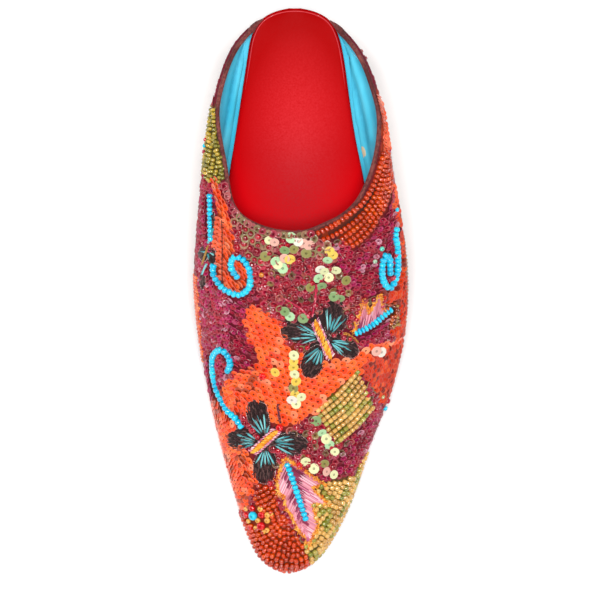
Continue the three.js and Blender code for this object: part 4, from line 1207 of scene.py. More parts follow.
# Pale sequins, one by one: pixel and colour.
CREAM, MINT, WHITE, YELLOW, LEAF_GREEN, OLIVE_FILM, ROSE_FILM = (
    "#D6D7A4", "#A8CD9C", "#E0D8CA", "#DDBC4E", "#7A9660", "#8A8448", "#DCA898")
PALE_SEQUINS = [
    (145, 238, CREAM), (150, 240, ROSE_FILM), (166, 238, MINT), (173, 239, WHITE), (178, 241, ROSE_FILM),
    (184, 243, ROSE_FILM), (160, 248, LEAF_GREEN), (169, 247, OLIVE_FILM), (160, 256, ROSE_FILM), (153, 262, CREAM),
    (158, 266, MINT), (165, 257, YELLOW), (151, 259, MINT), (181, 251, OLIVE_FILM), (141, 254, OLIVE_FILM),
    (204, 249, YELLOW), (207, 253, YELLOW), (202, 258, MINT), (195, 267, WHITE), (199, 269, CREAM),
    (210, 268, CREAM), (203, 275, CREAM), (193, 276, MINT), (196, 284, LEAF_GREEN), (220, 278, OLIVE_FILM),
    (208, 294, LEAF_GREEN), (214, 296, LEAF_GREEN), (185, 285, OLIVE_FILM), (178, 316, LEAF_GREEN),
    (160, 309, LEAF_GREEN), (165, 314, MINT), (169, 353, CREAM), (168.7, 359, YELLOW), (168.5, 365, YELLOW),
    (169.5, 372, CREAM), (171, 379, YELLOW), (168.5, 386, OLIVE_FILM), (170, 392, YELLOW), (176, 395, CREAM),
    (167, 398, WHITE), (171, 402, CREAM), (151, 370, YELLOW), (254, 350, WHITE), (249, 349, ROSE_FILM),
    (190, 419, LEAF_GREEN), (196, 431, MINT), (200, 437, CREAM), (203, 443, MINT), (208, 450, CREAM),
    (180, 460, CREAM), (188, 467, CREAM), (200, 470, ROSE_FILM), (207, 473, CREAM), (198, 462, OLIVE_FILM),
]


def oval(x, y, across, along, count=12):
    """An oval outline of pixels."""
    return [(x + across * math.cos(t), y + along * math.sin(t))
            for t in np.linspace(0, 2 * math.pi, count, endpoint=False)]


SIDE_WINGS = [((84.6, 250), oval(80.3, 253.3, 4.3, 7)), ((84.6, 250), oval(88.6, 255.3, 3.7, 8)),
              ((84, 262), oval(79.7, 280.5, 2.7, 7.8)), ((89.5, 230), oval(89.8, 219.5, 1.5, 8.5))]


def from_line(pixels, line, count=60):
    """How far pixels lie from a line of pixels."""
    dense = between(line, count)
    return np.linalg.norm(pixels[:, None] - dense[None], axis=2).min(1)


TWIG = [(217.5, 331), (222, 332), (227, 335), (231, 339)]
BODY_ROOM, STRING_ROOM, TWIG_ROOM, PALE_ROOM = 7, 3.6, 3.0, 3.3
FLOWER_ROOMS = [((0, 0), 9), ((8, 8), 8)]


def is_free(pixels, string_room=STRING_ROOM, facing=1.0):
    """Which pixels no motif covers. Strings take a room of their own, and rust rows less where the skin is steep."""
    taken = inside(pixels, DIAMOND) | inside(pixels, LEAF_INSTEP) | inside(pixels, LEAF_TOE)
    for _, wing in INSTEP_WINGS + VAMP_WINGS + SIDE_WINGS:
        taken |= inside(pixels, wing)
    for body in (INSTEP_BODY, VAMP_BODY):
        taken |= from_line(pixels, body) < BODY_ROOM
    for line, *_ in TURQUOISE_STRINGS.values():
        taken |= from_line(pixels, line) < string_room
    for line in RUST_ROWS:
        taken |= from_line(pixels, line) < STRING_ROOM * facing
    taken |= inside(pixels, RUST_ROWS[0] + RUST_ROWS[1][::-1])
    taken |= from_line(pixels, TWIG) < TWIG_ROOM
    for px, py, _ in PALE_SEQUINS:
        taken |= np.linalg.norm(pixels - (px, py), axis=1) < PALE_ROOM
    for aside, room in FLOWER_ROOMS:
        taken |= np.linalg.norm(pixels - FLOWER - aside, axis=1) < room
    return ~taken


# %% Dye the ground under the fields
WINE_DYE, DIAMOND_DYE, ROW_GAP_PAINTED_SHADE = "#6A1024", "#565018", "#3C1C16"
ROW_REACH = 4
GROUND_DYES = {"rust_toe": "#7A2406", "straw_toe": "#5E5420", "olive_left": "#4A4014", "brown_right": "#4A2410",
               "herringbone": "#9A3412", "salmon_right": "#9A3418", "orange_edge": "#6E1E0C", "orange_right": "#7A200C",
               "orange_fan": "#8A2810", "orange_left": "#7A2A0C", "orange": "#8E2C0E", "brown_beads": "#4A1A10"}
wall_pixels = pixels_of([v.co for v in upper.data.vertices])
dyes = np.array([linear(GROUND_DYES.get(name, WINE_DYE)) for name in field_of(wall_pixels)])
dyes[inside(wall_pixels, DIAMOND)] = linear(DIAMOND_DYE)
for line in RUST_ROWS:
    dyes[from_line(wall_pixels, line) < ROW_REACH] = linear(GROUND_DYES["rust_toe"])
# Between the first two rust rows the ground is near black-brown: painted shade in the gap between the rows.
dyes[inside(wall_pixels, RUST_ROWS[0] + RUST_ROWS[1][::-1])] = linear(ROW_GAP_PAINTED_SHADE)
tint = upper.data.attributes.new("tint", "FLOAT_COLOR", "POINT")
tint.data.foreach_set("color", np.concatenate([dyes, np.ones((len(dyes), 1))], 1).astype(np.float32).ravel())
print("dyed points:", len(dyes))

# %% Places of a field: seen ones on sight lines, the rest on rows
# Beside the binding the wall's top is round, and sight lines fill it down to a steeper slope. Towards the back
# the beadwork stays below the binding, so that the tape alone makes the outline.
SEEN_SLOPE, COLLAR_SLOPE, COLLAR_BAND, STEEP_ROOM = 0.70, 0.45, 7.0, 0.35
BEADWORK_END_Y, LOW_FROM_Y, LOW_BY = 107 * MM, 82 * MM, 2.4
WHOLE_SHOE = [(60, 0), (295, 0), (295, 580), (60, 580)]


def field_places(names, pitch, row, lean, string_room=STRING_ROOM, jitter=0.25):
    """Every free place of the named fields: on leaning rows where the skin faces up, on sole rows elsewhere."""
    rows = field_rows(pitch * MM, row * MM)
    grid = grid_places(WHOLE_SHOE, pitch * MM, row * MM, lean, jitter)
    found = []
    for places, on_grid in ((grid, True), (rows, False)):
        pixels, hidden = places[:, PIXEL], places[:, DEPTH] > 0
        by_collar = ~hidden & (from_line(pixels, OPENING, 300) < COLLAR_BAND)
        slope = unit(places[:, NORMAL])[:, 2]
        faces_up = slope >= np.where(by_collar, COLLAR_SLOPE, SEEN_SLOPE)
        chosen = (faces_up == on_grid) & np.isin(field_of(pixels), names) & (places[:, 1] < BEADWORK_END_Y)
        chosen &= (places[:, 1] < LOW_FROM_Y) | (places[:, DEPTH] > LOW_BY)
        clear = is_free(pixels, string_room, np.clip(slope / SEEN_SLOPE, STEEP_ROOM, 1))
        chosen &= hidden | (clear & ~inside(pixels, OPENING))
        found.append(places[chosen])
    return np.concatenate(found)


def lie_flat(places, tilt, steep=0.35, share=0.35):
    """Less tilt where the skin is steep, so that nothing sticks out of the shoe's outline."""
    up = unit(places[:, NORMAL])[:, 2]
    return tilt * (share + (1 - share) * np.clip(up / steep, 0, 1))


# %% [markdown]
# ## Toe cap and toe side
# The left of the toe is covered with rows of rust beads that follow the toe's outline, and its right with rows
# of straw beads along the sole's edge, with the straw and olive mixed as in the diamond.

# %% Rows of beads round the toe
def edge_rows(name, field, radius, pitch, row, colours, slot, node, part=round_bead, squash=1.0):
    """Sews one piece of beads in rows along the sole's edge."""
    places = field_rows(pitch * MM, row * MM, low=radius * MM)
    pixels = places[:, PIXEL]
    places = places[(field_of(pixels) == field) & ((places[:, DEPTH] > 0) | is_free(pixels))]
    axes = strung(places[:, NORMAL], places[:, ALONG])
    sizes = radius * vary(places, 0.93, 1.06) * (1, 1, squash)
    return sew(name, part, lifted(places, radius * LIFT_SHARE), axes, sizes, colours, slot, node)


edge_rows("rust_toe_beads", "rust_toe", 1.34, 2.2, 2.5, RUST, "rust_beads", "rust_patch_toe")
edge_rows("straw_toe_beads", "straw_toe", 1.24, 2.3, 2.55, straw_runs, "straw_beads", "straw_patch_toe",
          part=tube_bead, squash=0.95)

# %% [markdown]
# ## Orange sequins
# Flat orange sequins lie in leaning rows over the middle of the vamp, each over the edge of the next, with a
# dark knot in every hole: its thread, with painted shade in the hole. Along both sides they stand almost on
# edge, so that only their rims show.

# %% Flat orange field
# The two palest oranges stand for highlights: paler copies, a painted highlight.
ORANGE = [("#FF561C", 7), ("#FF6A2C", 4), ("#F04418", 3), ("#F87E56", 1), ("#FF9268", 1)]
ORANGE_LEAN = 42
places = field_places(["orange"], 2.55, 2.5, ORANGE_LEAN)
tilt = tilts(places, 12, 4)
row_turn = rng.normal(0, 0.3, (len(places), 1)) * (-math.sin(math.radians(ORANGE_LEAN)), 1.0, 0.0)
axes = directions(places[:, NORMAL], places[:, ALONG] + row_turn, tilt)
sew("orange_sequins", flat_sequin, lifted(places, 0.75), axes, 2.0 * vary(places, 0.95, 1.05), ORANGE)

# %% Standing orange sequins along the sides
# They overlap towards the sole, so that their rims run along the shoe, and lean up a little towards the eye.
def outward(places):
    """Away from the shoe's middle line, and down."""
    side = np.sign(places[:, PIXEL][:, 0] - MIDDLE_PIXEL[0])
    return np.stack([side, np.zeros(len(side)), np.full(len(side), -0.6)], 1)


RED_ORANGE = [("#C42A04", 6), ("#D23608", 4), ("#801804", 3), ("#DC5020", 2)]
SALMON = [("#F0623A", 5), ("#E4522A", 3), ("#F47C56", 2)]
for name, fields, colours in (("orange_side_sequins", ["orange_edge", "orange_right"], RED_ORANGE),
                              ("salmon_side_sequins", ["salmon_right"], SALMON)):
    places = field_places(fields, 2.3, 1.35, 90)
    tilt = lie_flat(places, tilts(places, 36, 8), share=0.6)
    turn = rng.normal(0, 0.25, len(places))
    axes = turned(directions(places[:, NORMAL], outward(places), tilt), turn)
    sew(name, flat_sequin, lifted(places, 0.85 * slim(places) ** 2), axes, 1.45 * slim(places), colours)

# %% Fans of orange sequins low on the left
FAN_SWING = 9.0
places = field_places(["orange_fan"], 1.7, 2.5, 62)
tilt = lie_flat(places, tilts(places, 20, 7), share=0.6)
swing = np.sin(places[:, PIXEL][:, 1:] / FAN_SWING) * (1.0, 0.0, 0.0)
axes = directions(places[:, NORMAL], unit(places[:, ALONG]) + swing, tilt)
sew("orange_fan_sequins", flat_sequin, lifted(places, 0.9), axes, 1.8, ORANGE + [("#B03A10", 2)])

# %% [markdown]
# ## Orange feather on the left side
# A long feather of sequins runs from the collar into the curl. Its left half is salmon and lies flat, its
# right half is bright orange and stands on edge, and both halves slant away from a dark middle line.

# %% Feather sequins
# Each half of the feather has its own rows: a pitch and a row distance in mm, a lean and a tilt in degrees, and
# a size in mm.
FEATHER_SPINE = [(84, 181), (86, 200), (90, 213), (99.6, 217), (99.8, 232), (100, 253), (99.8, 272), (100, 282),
                 (101, 292)]
FEATHER_ROOM = 3.0
FEATHER_HALVES = [
    ("feather_salmon_sequins", True, 2.0, 2.3, 82, 17, 1.8, SALMON),
    ("feather_orange_sequins", False, 1.45, 2.4, 30, 28, 1.75, ORANGE),
]
spine_line = between(FEATHER_SPINE, 60)
for name, left_half, pitch, row, lean, tilt, size, colours in FEATHER_HALVES:
    places = field_places(["herringbone"], pitch, row, lean, FEATHER_ROOM)
    px, py = places[:, PIXEL].T
    places = places[(px < np.interp(py, spine_line[:, 1], spine_line[:, 0])) == left_half]
    slant = np.tile((math.cos(math.radians(lean)), math.sin(math.radians(lean)), 0.0), (len(places), 1))
    axes = directions(places[:, NORMAL], slant, tilts(places, tilt, 5))
    sew(name, flat_sequin, lifted(places, 1.0), axes, size, colours)

# %% [markdown]
# ## Crimson and magenta ground
# Between the motifs the cloth is packed with crimson, olive-brown and rose cups, and at the sides with finer
# magenta cups that stand on edge like scales.

# %% Crimson middle
# Each cup is held down by a small glass bead in its middle, as a sequin is sewn on with a bead.
CRIMSON = [("#A00C26", 5), ("#860C20", 4), ("#B41428", 3), ("#8E2038", 1)]
CUPS = [("#B01430", 6), ("#980E2A", 4), ("#7E5C3C", 2), ("#6E5034", 2), ("#9C7E48", 1), ("#B8564C", 2), ("#AE2448", 3)]
# The palest red, #CC7884, stands for glints: a painted highlight.
RED_CUPS = [("#B00428", 6), ("#980020", 5), ("#B80838", 3), ("#CC7884", 1)]
THROAT_CUPS = [("#A87C5C", 3), ("#A0203A", 4), ("#8E7A50", 3), ("#B85A5C", 3), ("#9A1230", 3)]
RED_SIDE_X = 142
BEAD_RADIUS, BEAD_RISE = 1.15, 0.2 * MM
# Each field: pitch and row in mm, the cups' size in mm, the share that has a bead, the cups' colours, and how far
# left in the picture they are redder.
CUP_FIELDS = {"crimson": (2.5, 2.2, 1.8, 0.55, CUPS, RED_SIDE_X), "throat": (3.0, 2.5, 2.1, 0.7, THROAT_CUPS, 0)}
for field, (pitch, row, radius, share, colours, red_to) in CUP_FIELDS.items():
    places = field_places([field], pitch, row, 25, jitter=0.8)
    along = rng.normal(0, 1, (len(places), 3))
    axes = directions(places[:, NORMAL], along, tilts(places, 20, 11) * upright(places)[:, 0])
    size = slim(places) * vary(places, 0.85, 1.15)
    points = lifted(places, slim(places) ** 2 * vary(places, 0.85, 1.3))
    shades, redder = palette(len(points), colours), palette(len(points), RED_CUPS)
    shades = np.where(places[:, PIXEL][:, :1] < red_to, redder, shades)
    sew(field + "_cup_sequins", cup_sequin, points, axes, radius * size, shades)
    held = rng.random(len(points)) < share
    sew(field + "_glass_beads", round_bead, points[held] + axes[held, 2] * BEAD_RISE, axes[held],
        BEAD_RADIUS * size[held], CRIMSON)

# %% Magenta sides
# The palest magenta, #D48AA0, stands for glints: a painted highlight.
MAGENTA = [("#B00838", 5), ("#B60A56", 4), ("#8C0428", 5), ("#C02860", 2), ("#AE1030", 4), ("#D48AA0", 1)]
MAGENTA_FIELDS = ["magenta_left", "magenta_right", "magenta_low", "purple"]
places = field_places(MAGENTA_FIELDS, 1.9, 2.05, 78, jitter=0.7)
lean = lie_flat(places, tilts(places, 20, 10)) * upright(places)[:, 0]
axes = directions(places[:, NORMAL], unit(places[:, ALONG]) + rng.normal(0, 0.3, (len(places), 3)), lean)
sew("magenta_cup_sequins", cup_sequin, lifted(places, 0.95 * slim(places) ** 2), axes,
    1.52 * slim(places) * vary(places, 0.88, 1.12), MAGENTA)

# %% Olive, brown and orange beads by the collar and the sole
OLIVE = [("#9A8A30", 5), ("#B89C38", 3), ("#7C742A", 3), ("#D0A844", 1)]
BROWN = [("#A04020", 4), ("#7A3018", 3), ("#C06028", 2), ("#A07830", 2)]
ORANGE_BEADS = [("#E0581E", 5), ("#C4481A", 3), ("#EE7A40", 2)]
SMALL_BEAD = 0.98
for name, fields, colours in (("olive_beads", ["olive_left"], OLIVE),
                              ("brown_beads", ["brown_beads", "brown_right"], BROWN),
                              ("orange_edge_beads", ["orange_left"], ORANGE_BEADS)):
    places = field_places(fields, 1.75, 1.8, 80)
    sew(name, round_bead, lifted(places, 0.8 * slim(places) ** 2), strung(places[:, NORMAL], places[:, ALONG]),
        SMALL_BEAD * vary(places, 0.9, 1.1), colours)

# %% Beads and cups right beside the binding
# The last row is sewn close against the tape, and some of its cups lie over the tape's edge.
COLLAR_OLIVE = [(88, 110), (88.8, 125), (90.2, 142), (92.8, 156), (96.2, 170), (97.5, 178)]
COLLAR_CUPS = [(99.8, 186.2), (103, 195.7), (107.3, 205.2), (112.3, 212.7), (122.4, 222.8), (137.4, 231),
               (152.1, 234.6), (170, 235.6), (185.8, 233.8)]
COLLAR_SALMON = [(254, 96), (257, 110), (259.6, 125), (260.6, 140), (260.4, 152)]
UP = (0, 0, 1.0)
string_beads("olive_collar_row", [COLLAR_OLIVE], SMALL_BEAD, 1.7, OLIVE, "upper_cloth", skin_tree=wall_tree)
points, normals, _ = string_places(COLLAR_CUPS, 2.3 * MM, 1.9 * MM, wall_tree)
tilt = tilts(points, 8, 14)
axes = directions(normals + UP, rng.normal(0, 1, points.shape), tilt)
sew("collar_cup_sequins", cup_sequin, points, axes, 1.9 * vary(points, 0.85, 1.1), THROAT_CUPS)
points, normals, along = string_places(COLLAR_SALMON, 1.3 * MM, 0.7 * MM, wall_tree)
axes = directions(normals, along, tilts(points, 26, 6))
sew("collar_salmon_sequins", flat_sequin, points, axes, 1.3, SALMON)

# %% [markdown]
# ## Thread work: wings, bodies and leaves
# The butterflies and leaves are satin stitch: thread laid side by side over a low pad. The CAD overlay is the
# pad, and each thread is a copy of the one stitch, stretched between two pixels and laid on top. Teal rays run
# out from each body, gold thread is wound over the bodies, and gold zigzag edges the leaves.

# %% Lay stitches between pixels
STITCH_OVERLAP, SHORTEST_STITCH, STITCH_RISE = 1.05, 0.3, 0.4


def lay_thread(threads, start, end, width, colours, lift):
    """Adds one stitch between two pixels: width and lift in mm, a colour picked from hex values."""
    threads.append((start, end, width, linear(colours[rng.integers(len(colours))]), lift))


def lay_along(threads, line, count, reach, width, colours, lift, asides=((0, 0),), shake=0.0):
    """Lays strands of stitches beside a smooth line of pixels. A stitch is a reach times as long as its step."""
    dense = between(line, count)
    for a, b in zip(dense[:-1], dense[1:]):
        for aside in asides:
            start = a + aside + (rng.normal(0, shake, 2) if shake else 0.0)
            lay_thread(threads, start, start + (b - a) * reach, width, colours, lift)


def sew_threads(name, threads, slot, skin_tree=outer_tree):
    """Sews a list of stitches as one piece."""
    starts, ends, widths, colours, lifts = zip(*threads)
    (a, a_normals), (b, b_normals) = touch_all(starts, skin_tree), touch_all(ends, skin_tree)
    normals = unit(a_normals + b_normals)
    rise, width = normals * np.array(lifts)[:, None] * MM, np.array(widths)
    length = np.linalg.norm(b - a, axis=1) / MM
    sizes = np.stack([np.maximum(length, SHORTEST_STITCH) * STITCH_OVERLAP, width / 2, width * STITCH_RISE], 1)
    shades = np.array(colours) * vary(threads, 0.85, 1.15)
    return sew(name, stitch, (a + b) / 2 + rise, directions(normals, b - a), sizes, shades, slot)


def pad(name, node, hex_colour, slot):
    """The CAD overlay, smoothed and tinted, as the pad under the stitches."""
    piece = smooth_copy(name, node, thread_material, hard_edge=40)
    tint = piece.data.attributes.new("tint", "FLOAT_COLOR", "POINT")
    tint.data.foreach_set("color", np.tile(paint(hex_colour), len(piece.data.vertices)))
    return keep(piece, slot, node)


# %% Hatch an outline with lines
def hatch(outline, direction, gap):
    """Pairs of pixels where lines of a direction, a gap apart, cross a closed outline."""
    direction = np.array(direction, float) / np.linalg.norm(direction)
    side = np.array([-direction[1], direction[0]])
    corners = np.array(outline, float)
    across, along = corners @ side, corners @ direction
    found = []
    for level in np.arange(across.min() + gap / 2, across.max(), gap):
        cuts = []
        for k in range(len(corners)):
            a0, a1 = across[k - 1], across[k]
            if (a0 > level) != (a1 > level):
                cuts.append(along[k - 1] + (level - a0) / (a1 - a0) * (along[k] - along[k - 1]))
        cuts.sort()
        found += [(side * level + direction * a, side * level + direction * b) for a, b in zip(cuts[::2], cuts[1::2])]
    return found


# %% One wing
# Short dark stitches fill it, teal rays leave the body, and a pale running stitch goes round it.
WING_DARK = ["#301C1C", "#221412", "#44292B", "#5A3F3C", "#281617"]
TEAL = ["#5DB0B6", "#86CACB", "#3F8E96"]
PALE_THREAD = ["#D8C4BC", "#E6D3CC", "#B99A94"]
PAD_TOP = 1.1
RAY_STRANDS, RAY_WIDTH, RAY_LIFT = (-0.75, 0.0, 0.75), 0.3, PAD_TOP + 0.4
HEM_OUT, HEM_DASH, HEM_WIDTH, HEM_LIFT = 0.05, 0.55, 0.26, 1.0


def stitch_wing(threads, root, outline, rays=5, gap=1.1, stitch_length=3.4, width=0.5):
    """Lays the stitches of one wing from its root and outline. The fill's gap and length are in pixels."""
    root = np.array(root, float)
    edge = between(outline + outline[:1], 60)[:-1]
    axis = edge.mean(0) - root
    side = np.array([-axis[1], axis[0]])
    for a, b in hatch(edge, axis, gap):
        count = max(1, int(round(np.linalg.norm(b - a) / stitch_length)))
        for k in range(count):
            start, end = (a + (b - a) * (k + f) / count + rng.normal(0, 0.35, 2) for f in (-0.1, 1.0))
            lay_thread(threads, start, end, width, WING_DARK, PAD_TOP + rng.uniform(0.05, 0.3))
    for across in np.linspace(-0.5, 0.5, rays):
        tip = root + axis * rng.uniform(1.05, 1.45) + side * across * 1.15
        while not inside(tip[None], [tuple(c) for c in edge])[0] and np.linalg.norm(tip - root) > 2:
            tip = tip + (root - tip) * 0.1
        for aside in RAY_STRANDS:
            shift = side / np.linalg.norm(side) * aside
            start, end = root + (tip - root) * rng.uniform(0.2, 0.4), root + (tip - root) * rng.uniform(0.65, 1.0)
            lay_thread(threads, start + shift * 0.5, end + shift, RAY_WIDTH, TEAL, RAY_LIFT)
    for k in range(len(edge)):
        here = edge[k] + (edge[k] - edge.mean(0)) * HEM_OUT
        there = edge[(k + 1) % len(edge)]
        lay_thread(threads, here, here + (there - edge[k]) * HEM_DASH, HEM_WIDTH, PALE_THREAD, HEM_LIFT)


# %% One body
GOLD = ["#F0A32A", "#E08A1E", "#F6C04E", "#D9791A"]
ROSE = ["#D98AA0", "#F0D2D6", "#B4486A"]
BODY_STITCHES, BODY_WIDTH, TUFT_WIDTH = 46, 0.42, 0.4


def stitch_body(threads, start, end, half):
    """Winds gold thread round a body between two pixels, half its width in pixels, with rose tufts beside it."""
    start, end = np.array(start, float), np.array(end, float)
    axis = end - start
    side = np.array([-axis[1], axis[0]]) / np.linalg.norm(axis)
    for share in np.linspace(0.0, 1.0, BODY_STITCHES):
        round_end = min(1.0, 0.45 + 4.0 * min(share, 1 - share))
        here = start + axis * share + side * rng.normal(0, 0.25)
        slant = axis * rng.uniform(0.03, 0.075)
        wide = side * half * 0.85 * round_end * rng.uniform(0.75, 1.1)
        lay_thread(threads, here - wide - slant, here + wide * 0.2 + slant * 0.3, BODY_WIDTH, GOLD, PAD_TOP + 0.75)
        lay_thread(threads, here - wide * 0.2 - slant * 0.3, here + wide + slant, BODY_WIDTH, GOLD, PAD_TOP + 0.8)
        for edge in (-1, 1):
            rim = side * half * edge
            lay_thread(threads, here + rim * 0.8 * round_end, here + rim * rng.uniform(1.2, 1.5) + slant * edge,
                       TUFT_WIDTH, ROSE, PAD_TOP + 0.4)


# %% The feather's quill: dark stitches along its middle
QUILL_THREAD = ["#3A1414", "#2B1010", "#52201C"]
QUILL = [(99, 219), (99.4, 230), (99.5, 250), (99.3, 268), (99.8, 281)]
threads = []
lay_along(threads, QUILL, 26, 0.85, 0.5, QUILL_THREAD, 2.0)
sew_threads("feather_quill", threads, "wing_thread")

# %% Butterflies on the instep and the vamp
BODY_HALF = 3.4
for name, wings, body in (("butterfly_instep", INSTEP_WINGS, INSTEP_BODY),
                          ("butterfly_vamp", VAMP_WINGS, VAMP_BODY)):
    pad(name + "_pad", name, "#2B1718", "wing_thread")
    threads = []
    for wing in wings:
        stitch_wing(threads, *wing)
    stitch_body(threads, *body, BODY_HALF)
    sew_threads(name + "_threads", threads, "wing_thread")

# %% Feelers
MAROON_THREAD = ["#6A2A34", "#4A1C22", "#8A4048"]
CRIMSON_THREAD = ["#B01F3E", "#C9304E", "#A01834", "#C02848", "#D88088"]
FEELERS = [([(185, 315), (178, 308), (170, 302), (160, 296)], CRIMSON_THREAD),
           ([(186.5, 314), (189, 302), (190.6, 291), (191, 282)], CRIMSON_THREAD),
           ([(156, 421), (154.5, 411), (153.5, 402)], MAROON_THREAD)]
threads = []
for line, colours in FEELERS:
    lay_along(threads, line, 16, 1.4, 0.6, colours, 2.4, asides=((-0.5, 0), (0.5, 0)), shake=0.3)
sew_threads("butterfly_feelers", threads, "wing_thread")

# %% Small butterfly at the side
SIDE_BODY = ["#B8863C", "#9A6E30"]
SIDE_THREADS = [[(91, 227), (87.6, 236), (86, 242)], [(84.2, 263), (82, 268), (80, 273)]]
threads = []
for wing in SIDE_WINGS:
    stitch_wing(threads, *wing, rays=2, gap=1.0, stitch_length=4.5, width=0.62)
for line in SIDE_THREADS:
    for aside in (-0.6, 0.0, 0.6):
        for a, b in zip(line[:-1], line[1:]):
            lay_thread(threads, np.array(a) + (aside, 0), np.array(b) + (aside, 0), 0.42, TEAL, 1.9)
for aside in (-0.5, 0.5):
    lay_thread(threads, (86.6 + aside, 244), (80.3 + aside, 263.5), 0.5, SIDE_BODY, 2.1)
sew_threads("side_butterfly_threads", threads, "wing_thread")

# %% Pink leaves with gold edges
# The pink silk is lighter away from the vein. Near the vein the stitches part, and most there start in dark plum:
# painted shade along the vein.
PINK = ["#DE8C9C", "#E8A4B2", "#CA7482", "#F0C4CC", "#D48896"]
VEIN_PAINTED_SHADE = ["#8E2E4E", "#6E2038", "#A84468"]
GOLD_EDGE = ["#E8982A", "#D8701E", "#C05A18", "#F0B458", "#D88420"]
THREAD_GAP = 0.85
VEIN_SHADE_REACH, VEIN_SHADE_SHARE = 5.0, 0.75
EDGE_STEP, EDGE_SHAKE = 0.45, 0.85
LEAVES = {
    "leaf_instep": ([(LEAF_INSTEP, (0.22, -1.0))], LEAF_INSTEP_VEIN, LEAF_INSTEP[:6]),
    "leaf_toe": ([(LEAF_TOE[:7], (1.0, 0.62)), ([LEAF_TOE[0]] + LEAF_TOE[6:], (-0.45, 1.0))], LEAF_TOE_VEIN,
                 LEAF_TOE + LEAF_TOE[:1]),
}
for node, (halves, vein, border) in LEAVES.items():
    pad(node + "_pad", node, "#B85A7C", "leaf_thread")
    threads = []
    for outline, direction in halves:
        for a, b in hatch(outline, direction, THREAD_GAP):
            if from_line(np.array([a]), vein)[0] > from_line(np.array([b]), vein)[0]:
                a, b = b, a
            parting = rng.uniform(0.25, 0.6)
            by_vein = from_line(np.array([a]), vein)[0] < VEIN_SHADE_REACH
            shades = VEIN_PAINTED_SHADE if rng.random() < VEIN_SHADE_SHARE and by_vein else PINK
            lay_thread(threads, a, a + (b - a) * (parting + 0.1), 0.38, shades, PAD_TOP + 0.1)
            lay_thread(threads, a + (b - a) * parting, b, 0.42, PINK, PAD_TOP + rng.uniform(0.15, 0.35))
    for a, b in zip(border[:-1], border[1:]):
        a, b = np.array(a, float), np.array(b, float)
        steps = max(2, int(np.linalg.norm(b - a) / EDGE_STEP))
        for k in range(steps):
            here = a + (b - a) * (k + 0.5) / steps + rng.normal(0, EDGE_SHAKE, 2)
            turn = math.atan2(b[1] - a[1], b[0] - a[0]) + rng.choice([-1, 1]) * rng.uniform(0.3, 1.1)
            reach = np.array([math.cos(turn), math.sin(turn)]) * rng.uniform(1.2, 2.4)
            lay_thread(threads, here - reach, here + reach, 0.42, GOLD_EDGE, PAD_TOP + rng.uniform(0.35, 0.7))
    sew_threads(node + "_threads", threads, "leaf_thread")

# %% A gold twig under the instep leaf
TWIG_THREAD = ["#B8742A", "#8E5220", "#D08C3A"]
threads = []
lay_along(threads, TWIG, 14, 1.5, 0.42, TWIG_THREAD, 1.9, asides=((0, -0.7), (0, 0), (0, 0.7)), shake=0.4)
sew_threads("leaf_twig_threads", threads, "leaf_thread")

# %% Pale running stitch on the lining, just inside the binding
LINING_THREAD = ["#8CD6E8", "#A4E0EC", "#6CC6DC"]
LINING_STITCHES = [
    [(219.6, 44), (232, 57), (240.8, 67.3), (246.5, 78), (250.4, 88.5), (252.4, 100), (253, 115), (253, 130),
     (252, 146), (249.7, 158)],
    [(131, 31), (118, 43), (108, 55), (101, 68), (97, 80), (95, 92), (94.5, 108)],
]
TAPE_CLEAR = 1.6 * MM
threads = []
for line in LINING_STITCHES:
    dense = between(line, 60)
    for a, b in zip(dense[:-1], dense[1:]):
        if binding_tree.find_nearest(touch(*a, inner_tree)[0], TAPE_CLEAR)[0] is None:
            lay_thread(threads, a, a + (b - a) * 0.7, 0.34, LINING_THREAD, 0.3)
sew_threads("lining_running_stitch", threads, "upper_cloth", inner_tree)

# %% [markdown]
# ## Loose sequins, the flower and fine threads
# Pale sequins catch the light between the crimson ones: cream, mint and white near the throat, a yellow strip
# down the middle, and a green trail by the diamond. A small flower of red and yellow beads sits on the toe.

# %% Pale sequins, one by one
# The knot's dark tone is partly painted shade in the hole; on these it is lightened too.
PALE_KNOT = 0.3   # they are tied on with pale thread, so the knot hardly shows
PALE_LIFT = 1.9 * MM
pale_sequin = {**flat_sequin, "tone": flat_sequin["tone"] ** PALE_KNOT}
points, normals = touch_all([(px, py) for px, py, _ in PALE_SEQUINS])
axes = directions(normals, rng.normal(0, 1, points.shape), rng.uniform(0.08, 0.35, len(points)))
colours = np.array([linear(c) for _, _, c in PALE_SEQUINS])
sew("pale_sequins", pale_sequin, points + unit(normals) * PALE_LIFT, axes, 2.2 * vary(points, 0.9, 1.08), colours)

# %% Single beads
def single_beads(name, beads, base):
    """Sews round beads one by one: each has its pixel, colour and radius in mm. The base is in mm too."""
    points, normals = touch_all([(px, py) for px, py, _, _ in beads])
    sizes = np.array([[radius] for _, _, _, radius in beads])
    colours = np.array([linear(c) for _, _, c, _ in beads])
    points = points + unit(normals) * (base + 0.5 * sizes) * MM
    axes = directions(normals, rng.normal(0, 1, points.shape))
    sew(name, round_bead, points, axes, sizes, colours, "turquoise_beads")


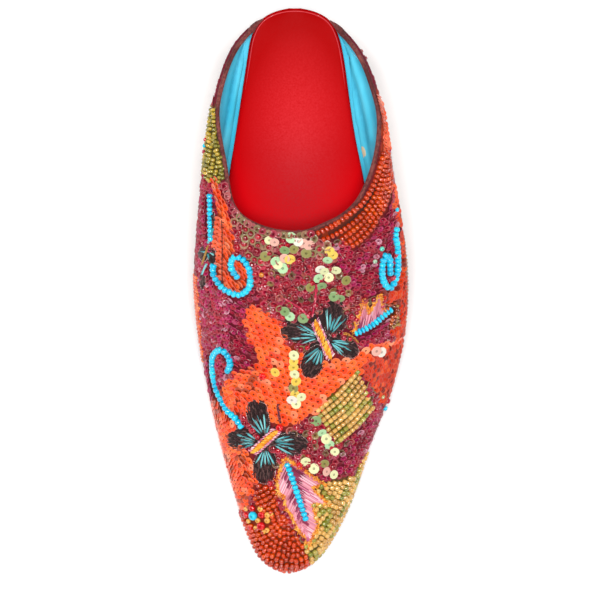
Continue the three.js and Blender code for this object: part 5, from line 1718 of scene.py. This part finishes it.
# %% Toe flower
# A turquoise bead seen end on, with red and gold glass beads round it.
RED_BEAD, GOLD_BEAD, BLUE_BEAD = "#D00C18", "#E4A44A", "#19C7E8"
PETALS = [(0, 0, BLUE_BEAD, 1.65), (-6.6, -0.6, RED_BEAD, 1.15), (-1.3, -7.2, RED_BEAD, 1.15),
          (7.6, -0.9, RED_BEAD, 1.3), (7.2, 10.2, RED_BEAD, 1.55), (-2.6, 11.6, RED_BEAD, 1.1),
          (6.3, -6.7, GOLD_BEAD, 1.1), (13, -0.6, GOLD_BEAD, 1.1), (16.4, -1.6, GOLD_BEAD, 0.9),
          (13, 4.9, GOLD_BEAD, 1.1), (4, 4.9, GOLD_BEAD, 1.0), (2.3, 12.4, GOLD_BEAD, 0.9),
          (13, 14.7, GOLD_BEAD, 1.0), (9.4, 16.4, GOLD_BEAD, 0.9), (-7.1, -6.7, GOLD_BEAD, 0.9),
          (-4.5, 5.5, GOLD_BEAD, 0.9)]
PETAL_SCALE = 1.25
petals = [(FLOWER[0] + dx, FLOWER[1] + dy, colour, PETAL_SCALE * radius) for dx, dy, colour, radius in PETALS]
single_beads("toe_flower_beads", petals, 0.9)

# %% Single beads here and there
SINGLE_BEADS = [(155, 426, RED_BEAD, 1.7), (138.5, 374.4, "#E81418", 1.6), (174, 463.5, RED_BEAD, 1.4),
                (260, 399.7, "#A80C28", 1.3), (255, 395.5, "#A8A060", 1.0), (259, 407, BLUE_BEAD, 1.2),
                (255, 247.4, "#5CCDB4", 1.1), (248.4, 259.8, "#A8C4A8", 1.0), (269, 209.5, BLUE_BEAD, 1.0),
                (83, 140, "#C01028", 0.9), (82.6, 146, BLUE_BEAD, 0.9), (82, 152, "#A41E3C", 0.9),
                (196.4, 510.5, "#8C8A2A", 1.4), (168, 256.5, "#E8B83C", 1.0), (137, 273, "#D8862C", 1.1)]
single_beads("single_beads", SINGLE_BEADS, 1.0)

# %% Fine threads over the ground, pale as painted glints
# Fine threads, coloured pale so that they stand for glints: a painted highlight.
FINE_GLINT_THREAD = ["#C8949A", "#B86A78", "#D0B0A4"]
GROUND_AREA = [(76, 238), (262, 238), (275, 300), (262, 420), (240, 470), (205, 480), (80, 372)]
TRIES, FINE_COUNT = 2600, 260
spots = rng.uniform(np.min(GROUND_AREA, axis=0), np.max(GROUND_AREA, axis=0), (TRIES, 2))
in_ground = np.isin(field_of(spots), [DEFAULT_FIELD, *MAGENTA_FIELDS])
spots = spots[in_ground & is_free(spots) & inside(spots, GROUND_AREA)]
threads = []
for spot in spots[:FINE_COUNT]:
    turn = rng.uniform(0, math.pi)
    reach = np.array([math.cos(turn), math.sin(turn)]) * rng.uniform(0.8, 1.8)
    lay_thread(threads, spot - reach, spot + reach, 0.16, FINE_GLINT_THREAD, rng.uniform(1.5, 2.1))
sew_threads("fine_threads_painted_glints", threads, "upper_cloth")
